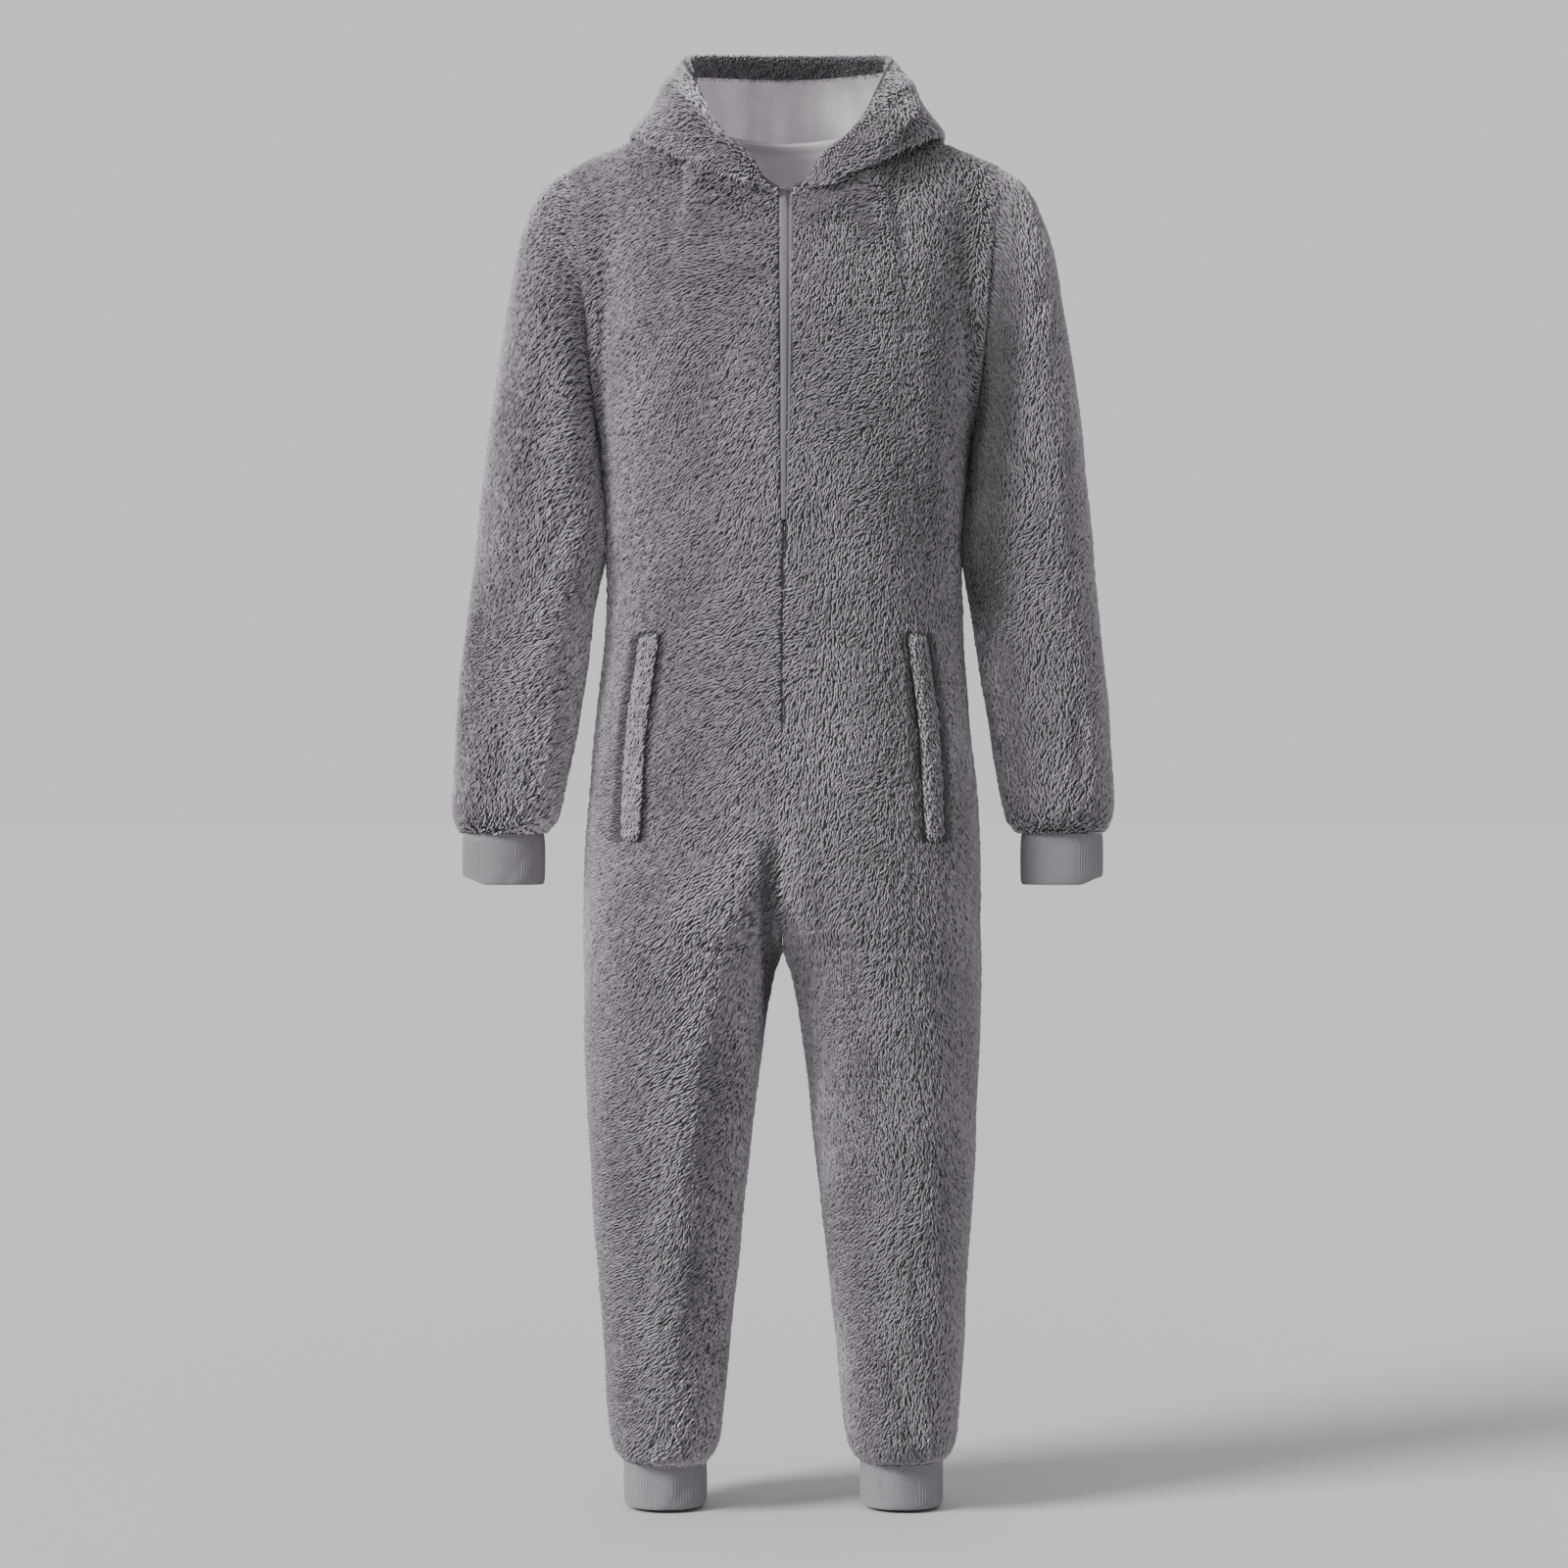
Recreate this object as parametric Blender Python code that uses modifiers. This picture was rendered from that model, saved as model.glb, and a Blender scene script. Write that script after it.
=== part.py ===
"""A hooded fleece onesie, filled out as if worn: hollow walls, one solid for each cut piece.

Lengths are in millimetres and the meshes are written in metres. +X is the wearer's left,
-Y the front and +Z up. The origin is the middle of the neck hole, level with the shoulders
that carry the garment.

The cloth is a loft between unlike sections, worked out from the tables below: each panel is
a function of two shares, and its wall is that surface and the same surface moved inwards.
Pieces that are sewn together use the same edge points and the same inward direction.
"""

import math

import bpy
import numpy as np

MM = 0.001
GARMENT = "hooded fleece onesie"

# Cloth
FLEECE = 5.0  # knit ground and pile together
LINING = 1.2
FACING = 2.4
RIB = 3.0
LINING_GAP = 0.6  # between the fleece and what lines it
SEAM_GAP = 0.4  # what is left open between two pieces that are sewn together

# Grid of each panel
PANEL_COLUMNS = 10
CHEST_ROWS = 10  # rows from the chest line to the shoulder, and half the rows round an armhole
HOOD_COLUMNS = 16  # a whole number for each of the panels' columns along the neckline
LINING_ROW = 9  # the hood's row at which the lining that shows begins
LINING_COLUMN = 2  # and its column, counted from the zip
HOOD_ROWS = 15  # below the facing
FACING_RISE = 0.957  # share of the way from neck seam to rim at which the facing begins
NECK_FACING_COLUMNS = 4
NECK_FACING_ROWS = (0.22, 0.153, 0.087, 0.02)  # how far below the neck seam, as a share of the back
NECK_FACING_ENDS = 0.55  # how much of that drop is lost at its two ends

# Neck, shoulder and armhole
NECK_HALF_WIDTH = 95.0
NECK_FRONT = 80.0
NECK_BACK = 72.0
NECK_FRONT_Z = -44.0
NECK_SIDE_Z = 45.0
NECK_BACK_Z = 38.0
NECK_SHARE = 0.4  # share of the top edge of a panel that is neckline
SHOULDER_TIP_X = 236.0
SHOULDER_SLOPE = 0.16
SHOULDER_ROUNDING = 0.0011
UNDERARM_LEAN = np.array((7.0, 72.0, 32.0))  # how the armhole leaves the underarm: out, forward, up

CHEST_Z = -302.0
CROTCH_Z = -860.0
ZIP_END_Z = -402.0


def table(columns, *rows):
    """A table with named columns, as one array for each column."""
    return dict(zip(columns.split(), np.array(rows, float).T))


# Half of the body and one leg, from the chest line down to the ankle seam. inner is where the
# section would end across the body's middle: it meets the other leg's at the crotch.
BODY = table(
    "z  outer  inner  front  back  power  rows",
    (-302.0, 205.5, -205.5, 135.0, 128.0, 2.35, 2),
    (-400.0, 198.5, -198.5, 133.0, 126.0, 2.35, 1),
    (-460.0, 196.5, -196.5, 130.0, 125.0, 2.35, 1),
    (-529.0, 199.0, -199.0, 130.0, 128.0, 2.35, 1),
    (-600.0, 206.0, -206.0, 136.0, 137.0, 2.3, 1),
    (-660.0, 211.5, -211.5, 143.0, 146.0, 2.3, 1),
    (-720.0, 216.5, -190.0, 147.0, 151.0, 2.25, 1),
    (-770.0, 219.0, -135.0, 146.0, 151.0, 2.2, 1),
    (-810.0, 220.0, -72.0, 141.0, 146.0, 2.2, 1),
    (-835.0, 220.0, -31.0, 136.0, 140.0, 2.2, 1),
    (-850.0, 220.0, -9.0, 132.0, 136.0, 2.2, 1),
    (-860.0, 220.0, 0.5, 130.0, 133.0, 2.2, 1),
    (-875.0, 220.0, 6.0, 127.0, 129.0, 2.15, 1),
    (-905.0, 219.5, 12.0, 121.0, 122.0, 2.15, 1),
    (-940.0, 218.5, 17.5, 116.0, 116.0, 2.15, 2),
    (-1026.0, 215.5, 28.5, 104.0, 104.0, 2.15, 2),
    (-1112.0, 211.5, 38.5, 95.0, 97.0, 2.15, 2),
    (-1199.0, 205.5, 47.5, 89.0, 95.0, 2.15, 2),
    (-1285.0, 200.0, 56.0, 83.0, 90.0, 2.15, 2),
    (-1372.0, 194.0, 64.5, 78.0, 82.0, 2.15, 1),
    (-1393.0, 192.0, 67.5, 75.0, 78.0, 2.15, 1),
    (-1408.0, 188.5, 71.5, 69.0, 71.0, 2.15, 1),
    (-1418.0, 183.0, 77.5, 58.0, 59.0, 2.1, 1),
    (-1423.0, 176.5, 84.0, 41.0, 41.0, 2.1, 0),
)

# How the columns of a panel rise from the chest line to its top edge, by share of the panel's
# width: how far each end of the column runs straight, and the angle it arrives at.
RISE = table(
    "share  front_start  front_end  front_lift  back_start  back_end  back_lift",
    (0.0, 110.0, 90.0, 62.0, 200.0, 62.0, 42.0),
    (0.2, 120.0, 84.0, 50.0, 200.0, 64.0, 36.0),
    (0.4, 175.0, 76.0, 12.0, 205.0, 72.0, 10.0),
    (0.7, 190.0, 76.0, 0.0, 200.0, 78.0, 0.0),
    (1.0, 80.0, 72.0, 0.0, 80.0, 76.0, 0.0),
)

# Sleeve rings from the armhole to the wrist seam: the point of each on the arm's outer side,
# the one on its inner side, its depth from front to back and how far forward it hangs.
SLEEVE = table(
    "ring  outer_x  outer_z  inner_x  inner_z  depth  forward  rows",
    (0, 236.0, 0.0, 205.5, -302.0, 108.0, 0.0, 1),
    (1, 260.0, -17.0, 206.4, -305.0, 126.0, 1.0, 1),
    (2, 277.0, -43.0, 206.8, -310.0, 136.0, 3.0, 1),
    (3, 295.0, -97.0, 206.4, -322.0, 142.0, 8.0, 1),
    (4, 309.0, -180.0, 204.2, -347.0, 140.0, 15.0, 1),
    (5, 321.0, -265.0, 200.6, -390.0, 135.0, 21.0, 1),
    (6, 332.0, -362.0, 198.2, -436.0, 130.0, 24.0, 1),
    (7, 343.0, -464.0, 206.0, -500.0, 124.0, 24.0, 1),
    (8, 355.0, -572.0, 219.5, -595.0, 118.0, 22.0, 1),
    (9, 361.5, -650.0, 232.0, -662.0, 112.0, 20.0, 1),
    (10, 364.5, -700.0, 240.5, -705.0, 106.0, 19.0, 1),
    (11, 361.0, -721.0, 245.5, -722.0, 94.0, 18.0, 1),
    (12, 355.0, -730.0, 254.0, -730.0, 76.0, 18.0, 1),
    (13, 350.0, -734.0, 262.0, -734.0, 60.0, 18.0, 0),
)

# The hood as it lies pushed back: for each share of the neck seam from the front to the back,
# the reach from the neck's middle and the height of nine stations from seam to rim.
HOOD = table(
    """share  sole_r  sole_z  drop_r  drop_z  heel_r  heel_z  belly_r  belly_z  lip_r  lip_z
    notch_r  notch_z  waist_r  waist_z  brow_r  brow_z  rim_r  rim_z""",
    (0.0, 81, -42.8, 81, -42.2, 82, -41.6, 82, -41, 83, -40.4, 83, -39.8, 84, -39.2, 84, -38.6, 84, -38),
    (0.05, 83, -38, 83, -37, 84, -36, 84, -35, 85, -34, 85, -33, 85, -32, 85, -30.5, 85, -29),
    (0.1, 86, -30, 91, -34, 97, -38, 102, -34, 105, -27, 103, -19, 100, -12, 96, -6, 88, -2),
    (0.2, 95, 0, 104, -9, 113, -21, 121, -21, 124, -11, 121, 0, 117, 9, 110, 19, 96, 23),
    (0.35, 104, 37, 122, 25, 141, 11, 153, 9, 157, 18, 154, 34, 146, 51, 127, 74, 98, 68),
    (0.43, 112, 44, 132, 39, 153, 30, 166, 26, 170, 36, 159, 52, 149, 66, 134, 91, 106, 99),
    (0.5, 118, 46, 139, 40, 158, 33, 170, 31, 173, 39, 160, 55, 148, 71, 137, 95, 112, 119),
    (0.6, 112, 43, 136, 34, 158, 24, 172, 17, 178, 28, 168, 48, 156, 70, 140, 101, 118, 131),
    (0.7, 104, 37, 126, 17, 150, -10, 168, -18, 181, 0, 181, 32, 171, 68, 152, 105, 127, 138),
    (0.85, 100, 29, 120, -10, 140, -72, 164, -84, 184, -60, 190, -16, 183, 46, 162, 109, 128, 146),
    (0.93, 95, 25, 116, -21, 134, -92, 158, -104, 180, -79, 189, -32, 185, 36, 164, 108, 127, 148.5),
    (1.0, 92, 24, 114, -24, 132, -98, 156, -110, 178, -86, 188, -37, 185, 32, 164, 107, 126, 149),
)

# Soft folds of the cloth on a panel or sleeve, seen from the front or the back: a ridge where
# height is above 0, a trough where it is below.
FOLDS = table(
    "side  face  x1  z1  x2  z2  half_width  height",
    (-1, -1, 42.0, -760.0, 80.0, -960.0, 34.0, 5.0),
    (-1, -1, 80.0, -960.0, 107.0, -1095.0, 30.0, 5.5),
    (-1, -1, 107.0, -1095.0, 140.0, -1330.0, 26.0, 4.5),
    (-1, -1, 138.0, -1080.0, 158.0, -1280.0, 20.0, -5.0),
    (-1, -1, 80.0, -1190.0, 82.0, -1300.0, 18.0, -3.5),
    (1, -1, 95.0, -980.0, 105.0, -1010.0, 24.0, -5.0),
    (1, -1, 125.0, -1090.0, 140.0, -1130.0, 24.0, -4.5),
    (1, -1, 92.0, -1210.0, 104.0, -1250.0, 24.0, -5.0),
    (1, -1, 112.0, -1310.0, 148.0, -1400.0, 16.0, -5.0),
    (1, -1, 26.0, -770.0, 30.0, -850.0, 20.0, 4.0),
    (-1, -1, 175.0, -130.0, 172.0, -400.0, 36.0, 4.0),
    (1, -1, 150.0, -120.0, 160.0, -420.0, 30.0, 3.0),
    (1, 1, 80.0, -150.0, 120.0, -420.0, 34.0, 4.0),
    (-1, 1, 70.0, -160.0, 130.0, -400.0, 30.0, -4.0),
    (-1, 1, 60.0, -800.0, 130.0, -960.0, 30.0, -5.0),
    (1, 1, 70.0, -810.0, 120.0, -940.0, 28.0, -5.0),
    (1, 1, 90.0, -1090.0, 150.0, -1130.0, 24.0, -5.0),
    (-1, 1, 90.0, -1110.0, 160.0, -1140.0, 26.0, -5.0),
    (-1, 1, 90.0, -1300.0, 150.0, -1390.0, 18.0, -4.0),
)

# Where the two fronts part for the zip: half of its width by height.
ZIP = table(
    "z  half",
    (-410.0, 0.15),
    (ZIP_END_Z, 3.0),
    (-313.0, 5.0),
    (-200.0, 6.0),
    (NECK_FRONT_Z, 7.5),
    (0.0, 7.5),
)
ZIP_RECESS = 2.0
ZIP_TAPE = 2.0
ZIP_ON_COLLAR = (0.5, 0.9)  # how far up the hood's front edge the tapes run on
SLIDER_ROW = 0.93  # how far up the front the slider stands
SLIDER_SIZE = np.array((9.0, 4.0, 15.0))
SLIDER_EDGE = 1.2

# The middle line of a pocket's welt on the front, and its width.
WELT = table(
    "z  x",
    (-738.0, 161.0),
    (-630.0, 156.0),
    (-518.0, 141.0),
)
WELT_WIDTH = 20.0
WELT_THICKNESS = 4.0
WELT_LIFT = 0.8
WELT_ROWS = 10

WRIST_CUFF_LENGTH = 56.0
ANKLE_CUFF_LENGTH = 49.0
# How far a cuff swells past its seam, by share of its length.
CUFF = table(
    "share  swell",
    (0.0, 0.0),
    (0.3, 1.5),
    (0.85, 1.2),
    (1.0, -1.0),
)

# The garment hangs a little to one side: how far each height is moved along X.
SWAY = table(
    "z  shift",
    (-1500.0, -2.5),
    (-1200.0, -3.0),
    (-900.0, -3.5),
    (-500.0, -2.5),
    (-200.0, 0.0),
    (0.0, 0.0),
    (60.0, 2.0),
    (160.0, 3.0),
)


def curve(rows, key, name, at):
    """A column of a table as a smooth function of its key column, with no overshoot."""
    order = np.argsort(rows[key])
    xs, ys = rows[key][order], rows[name][order]
    gaps = np.diff(xs)
    slopes = np.diff(ys) / gaps
    bends = np.zeros(len(xs))
    bends[0], bends[-1] = slopes[0], slopes[-1]
    same_way = slopes[:-1] * slopes[1:] > 0
    before = np.where(same_way, slopes[:-1], 1.0)
    after = np.where(same_way, slopes[1:], 1.0)
    wide, narrow = 2 * gaps[1:] + gaps[:-1], gaps[1:] + 2 * gaps[:-1]
    bends[1:-1] = np.where(same_way, (wide + narrow) / (wide / before + narrow / after), 0.0)
    at = np.clip(at, xs[0], xs[-1])
    i = np.clip(np.searchsorted(xs, at, side="right") - 1, 0, len(xs) - 2)
    t = (at - xs[i]) / gaps[i]
    return (
        (1 + 2 * t) * (1 - t) ** 2 * ys[i]
        + t * (1 - t) ** 2 * gaps[i] * bends[i]
        + t * t * (3 - 2 * t) * ys[i + 1]
        + t * t * (t - 1) * gaps[i] * bends[i + 1]
    )


def smoothstep(low, high, value):
    """0 up to low and 1 from high on, with no kink at either."""
    t = np.clip((value - low) / (high - low), 0.0, 1.0)
    return t * t * (3 - 2 * t)


def unit(vectors):
    return vectors / np.maximum(np.linalg.norm(vectors, axis=-1, keepdims=True), 1e-9)


def power_of(value, power):
    """A power that keeps the sign of its value."""
    return np.sign(value) * np.abs(value) ** power


def stacked(*parts):
    """Points from their coordinates, each an array or a single number."""
    return np.stack(np.broadcast_arrays(*parts), axis=-1)


# ---------------------------------------------------------------- the body


def section_point(face, share, z):
    """A point below the chest line; face is -1 for the front and 1 for the back."""
    outer = curve(BODY, "z", "outer", z)
    inner = curve(BODY, "z", "inner", z)
    depth = curve(BODY, "z", "front" if face < 0 else "back", z)
    round_off = 2.0 / curve(BODY, "z", "power", z)
    middle, half = (outer + inner) / 2, (outer - inner) / 2
    parting = curve(ZIP, "z", "half", z) if face < 0 else SEAM_GAP / 2
    edge = np.clip((parting - middle) / half, -1.0, 1.0)
    first = np.arcsin(power_of(edge, 1 / round_off))
    angle = first + share * (math.pi / 2 - first)
    x = middle + half * power_of(np.sin(angle), round_off)
    y = face * depth * np.abs(np.cos(angle)) ** round_off
    return stacked(x, y, z)


def top_edge(face, share):
    """The neckline up to NECK_SHARE of the panel's width, then the shoulder seam."""
    turn = np.clip(share / NECK_SHARE, 0, 1) * math.pi / 2
    along = np.clip((share - NECK_SHARE) / (1 - NECK_SHARE), 0, 1)
    run = along * (SHOULDER_TIP_X - NECK_HALF_WIDTH)
    parting = curve(ZIP, "z", "half", NECK_FRONT_Z) if face < 0 else SEAM_GAP / 2
    x = parting + (NECK_HALF_WIDTH - parting) * np.sin(turn) + run
    depth = NECK_FRONT if face < 0 else NECK_BACK
    middle_z = NECK_FRONT_Z if face < 0 else NECK_BACK_Z
    y = face * depth * np.cos(turn)
    z = NECK_SIDE_Z + (middle_z - NECK_SIDE_Z) * (1 - np.sin(turn) ** 1.6)
    z = z - SHOULDER_SLOPE * run - SHOULDER_ROUNDING * run**2
    return stacked(x, y, z)


def rising_point(face, share, rise):
    """A point above the chest line, at this share of the way up its column."""
    name = "front" if face < 0 else "back"
    start = section_point(face, share, CHEST_Z)
    below = section_point(face, share, CHEST_Z - 4.0)
    straight = (start - below) / 4.0 * curve(RISE, "share", name + "_start", share)[..., None]
    armhole = smoothstep(0.7, 1.0, share)[..., None]
    lean = UNDERARM_LEAN * (1, face, 1)
    first = start + (1 - armhole) * straight + armhole * lean
    top = top_edge(face, share)
    lift = np.radians(curve(RISE, "share", name + "_lift", share))
    reach = curve(RISE, "share", name + "_end", share)
    last = top + stacked(0 * lift, face * reach * np.cos(lift), -reach * np.sin(lift))
    t = rise[..., None]
    return (
        (1 - t) ** 3 * start
        + 3 * t * (1 - t) ** 2 * first
        + 3 * t * t * (1 - t) * last
        + t**3 * top
    )


def body_point(face, share, row):
    """row is 0 at the chest line, 1 at the top edge, and -1 at the ankle seam."""
    share, row = np.broadcast_arrays(np.asarray(share, float), np.asarray(row, float))
    low = section_point(face, share, CHEST_Z + np.minimum(row, 0) * (CHEST_Z - BODY["z"].min()))
    high = rising_point(face, share, np.maximum(row, 0))
    return np.where(row[..., None] > 0, high, low)


def normal_of(surface, u, v, flip=1.0, step=2e-3, u_range=(0.0, 1.0), v_range=(-1.0, 1.0)):
    """The outward direction of surface(u, v), from its slopes either side of the point."""
    u, v = np.broadcast_arrays(np.asarray(u, float), np.asarray(v, float))
    u0, u1 = np.clip(u - step, *u_range), np.clip(u + step, *u_range)
    v0, v1 = np.clip(v - step, *v_range), np.clip(v + step, *v_range)
    across = surface(u1, v) - surface(u0, v)
    up = surface(u, v1) - surface(u, v0)
    return flip * unit(np.cross(across, up))


def body_normal(face, share, row):
    """The outward direction of a panel."""
    return normal_of(lambda u, v: body_point(face, u, v), share, row, flip=-face)


def shared(own, other):
    """The direction that two walls share at a seam; where they fold flat each keeps its own."""
    blend = smoothstep(-0.6, 0.0, (own * other).sum(-1))[..., None]
    return unit(own + blend * other)


def body_inward(face, shares, rows):
    """For a grid of a panel, the direction of its wall, agreed with what is sewn to each edge."""
    u, v = np.meshgrid(shares, rows, indexing="ij")
    out = body_normal(face, u, v)
    mirrored = out[0] * (-1, 1, 1)
    other_face = body_normal(-face, u, v)
    sleeve = sleeve_normal(armhole_turn(face, rows), 0.0)
    legs = v[0] * (CHEST_Z - BODY["z"].min()) + CHEST_Z < CROTCH_Z
    middle = np.where(legs[:, None], other_face[0], mirrored)
    edge = np.where((rows > 0)[:, None], sleeve, other_face[-1])
    first, last = shared(out[0], middle), shared(out[-1], edge)
    shoulder = shared(out[:, -1], other_face[:, -1])
    on_shoulder = (np.asarray(shares) >= NECK_SHARE - 1e-6)[:, None]
    out[:, -1] = np.where(on_shoulder, shoulder, out[:, -1])
    tip = unit(out[-1, -1] + sleeve[-1])
    out[0], out[-1] = first, last
    out[-1, -1] = tip
    return -out


# ---------------------------------------------------------------- the sleeves


def armhole_turn(face, rows):
    """Where a row of a panel meets the sleeve's rings: 0 at the shoulder, half at the underarm."""
    half = (1 - np.maximum(rows, 0)) / 2
    return half if face < 0 else (1 - half) % 1.0


def armhole_point(turn):
    """A point of the armhole, from the shoulder down the front and up the back."""
    rise = np.abs(1 - 2 * turn)
    ones = np.ones_like(rise)
    front, back = rising_point(-1, ones, rise), rising_point(1, ones, rise)
    return np.where(turn[..., None] <= 0.5, front, back)


def ring_point(turn, along):
    """A point of the sleeve's plain rings; along is 0 at the armhole and 1 at the wrist seam."""
    ring = along * SLEEVE["ring"].max()
    outer = stacked(
        curve(SLEEVE, "ring", "outer_x", ring), 0 * ring, curve(SLEEVE, "ring", "outer_z", ring)
    )
    inner = stacked(
        curve(SLEEVE, "ring", "inner_x", ring), 0 * ring, curve(SLEEVE, "ring", "inner_z", ring)
    )
    angle = 2 * math.pi * turn
    middle, half = (outer + inner) / 2, (outer - inner) / 2
    forward = -curve(SLEEVE, "ring", "forward", ring)
    deep = curve(SLEEVE, "ring", "depth", ring) / 2 * power_of(np.sin(angle), 0.92)
    across = power_of(np.cos(angle), 0.92)[..., None] * half
    return middle + across + stacked(0 * deep, forward - deep, 0 * deep)


def sleeve_point(turn, along):
    """The plain rings, drawn to the armhole's own curve at their upper end."""
    turn, along = np.broadcast_arrays(np.asarray(turn, float) % 1.0, np.asarray(along, float))
    fade = (1 - smoothstep(0.0, 0.4, along))[..., None]
    drawn = armhole_point(turn) - ring_point(turn, 0 * along)
    return ring_point(turn, along) + fade * drawn


def sleeve_normal(turn, along):
    """The outward direction of a sleeve."""
    return normal_of(sleeve_point, turn, along, u_range=(-9.0, 9.0), v_range=(0.0, 1.0))


def table_rows(rows, key):
    """The key of each row of a grid: every row of the table, and the steps it asks for between."""
    keys = rows[key]
    steps = rows["rows"][:-1].astype(int)
    found = [np.linspace(a, b, n, endpoint=False) for a, b, n in zip(keys, keys[1:], steps)]
    return np.concatenate(found + [keys[-1:]])


# ---------------------------------------------------------------- the hood


def hood_seam(share):
    """The neck seam from the front (0) round to the back (1) of the wearer's left side.

    It runs straight between the columns of the panels, as their edges do.
    """
    columns = np.linspace(0, NECK_SHARE, round(NECK_SHARE * PANEL_COLUMNS) + 1)
    around = np.concatenate([top_edge(-1, columns), top_edge(1, columns[-2::-1])])
    shares = np.linspace(0, 1, len(around))
    return stacked(*(np.interp(share, shares, around[:, axis]) for axis in range(3)))


HOOD_STATIONS = ("sole", "drop", "heel", "belly", "lip", "notch", "waist", "brow", "rim")


def hood_point(share, rise):
    """A point of the hood's outer side; rise is 0 at the neck seam and 1 at the rim."""
    share, rise = np.broadcast_arrays(np.asarray(share, float), np.asarray(rise, float))
    seam = hood_seam(share)
    way = seam * (1, 1, 0)
    reach = np.linalg.norm(way, axis=-1)
    reaches = [reach] + [curve(HOOD, "share", name + "_r", share) for name in HOOD_STATIONS]
    heights = [seam[..., 2] + SEAM_GAP]
    heights += [curve(HOOD, "share", name + "_z", share) for name in HOOD_STATIONS]
    place = rise * len(HOOD_STATIONS)
    r, z = spline(reaches, place), spline(heights, place)
    flat = way / reach[..., None] * r[..., None]
    return flat + stacked(0 * z, 0 * z, z)


def spline(stations, place):
    """A Catmull-Rom curve through the stations, at this place counted in stations."""
    points = np.stack([2 * stations[0] - stations[1]] + stations + [2 * stations[-1] - stations[-2]])
    i = np.clip(place.astype(int), 0, len(stations) - 2)
    t = place - i
    p0, p1, p2, p3 = (np.take_along_axis(points, (i + k)[None], 0)[0] for k in range(4))
    return 0.5 * (
        2 * p1 + (p2 - p0) * t + (2 * p0 - 5 * p1 + 4 * p2 - p3) * t**2
        + (3 * p1 - p0 - 3 * p2 + p3) * t**3
    )


def hood_normal(share, rise):
    """The outward direction of the hood."""
    return normal_of(hood_point, share, rise, v_range=(0.0, 1.0))


# ---------------------------------------------------------------- folds and walls


def fold_height(side, face, points):
    """How far the folds of one side's front or back raise its cloth, fading towards its edges."""
    raised = np.zeros(points.shape[:-1])
    depth = curve(BODY, "z", "front" if face < 0 else "back", points[..., 2])
    facing = smoothstep(0.25, 0.6, face * points[..., 1] / depth)
    for i in np.flatnonzero((FOLDS["side"] == side) & (FOLDS["face"] == face)):
        fold = {name: column[i] for name, column in FOLDS.items()}
        start, end = np.array((fold["x1"], fold["z1"])), np.array((fold["x2"], fold["z2"]))
        run = end - start
        here = points[..., (0, 2)] - start
        along = np.clip((here @ run) / (run @ run), 0, 1)
        away = np.linalg.norm(here - along[..., None] * run, axis=-1) / fold["half_width"]
        ends = smoothstep(0.0, 0.3, along) * smoothstep(1.0, 0.7, along)
        raised += fold["height"] * (0.6 + 0.4 * ends) * np.exp(-2.2 * away**2)
    return raised * facing


def parted(grid, closed):
    """Draws each free edge of a grid back by half of the seam's gap."""
    grid = grid.copy()
    half = SEAM_GAP / 2
    for axis in (1,) if closed else (0, 1):
        lines = np.moveaxis(grid, axis, 0)
        lines[0] += half * unit(lines[1] - lines[0])
        lines[-1] += half * unit(lines[-2] - lines[-1])
    return grid


def swayed(points):
    """The points with each height moved along X."""
    points = points.copy()
    points[..., 0] += curve(SWAY, "z", "shift", points[..., 2])
    return points


def material(name, colour, roughness):
    """The material of this name, made when it is first asked for."""
    made = bpy.data.materials.get(name)
    if made:
        return made
    made = bpy.data.materials.new(name)
    made.use_nodes = True
    shader = made.node_tree.nodes["Principled BSDF"]
    shader.inputs["Base Color"].default_value = (*colour, 1.0)
    shader.inputs["Roughness"].default_value = roughness
    shader.inputs["Metallic"].default_value = 0.0
    return made


FLEECE_GREY = ("grey fleece", (0.20, 0.185, 0.20), 0.95)
LINING_GREY = ("pale grey lining", (0.36, 0.34, 0.36), 0.85)
RIB_GREY = ("grey rib knit", (0.27, 0.25, 0.27), 0.9)
TAPE_GREY = ("grey zip tape", (0.25, 0.235, 0.25), 0.7)
SLIDER_GREY = ("grey painted metal", (0.3, 0.29, 0.3), 0.45)


def add_wall(name, outer, inner, side, look, closed=False):
    """A closed wall between two grids of the same size, mirrored for the wearer's right."""
    columns, rows = outer.shape[:2]
    points = swayed(np.concatenate([outer.reshape(-1, 3), inner.reshape(-1, 3)]) * (side, 1, 1))
    under = columns * rows

    def at(i, j):
        return (i % columns) * rows + j

    faces = []
    for i in range(columns if closed else columns - 1):
        for j in range(rows - 1):
            quad = [at(i, j), at(i + 1, j), at(i + 1, j + 1), at(i, j + 1)]
            back = [quad[0], quad[3], quad[2], quad[1]]
            faces += [quad, [k + under for k in back]]
    rims = [[(i, 0), (i + 1, 0)] for i in range(columns if closed else columns - 1)]
    rims += [[(i + 1, rows - 1), (i, rows - 1)] for i in range(columns if closed else columns - 1)]
    if not closed:
        rims += [[(0, j + 1), (0, j)] for j in range(rows - 1)]
        rims += [[(columns - 1, j), (columns - 1, j + 1)] for j in range(rows - 1)]
    faces += [[at(*b), at(*a), at(*a) + under, at(*b) + under] for a, b in rims]
    mesh = bpy.data.meshes.new(name)
    mesh.from_pydata((points * MM).tolist(), [], faces)
    if signed_volume(points, faces) < 0:
        mesh.flip_normals()
    mesh.materials.append(material(*look))
    mesh.shade_smooth()
    mesh.set_sharp_from_angle(angle=math.radians(60))
    made = bpy.data.objects.new(name, mesh)
    bpy.data.collections[GARMENT].objects.link(made)
    return made


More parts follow.
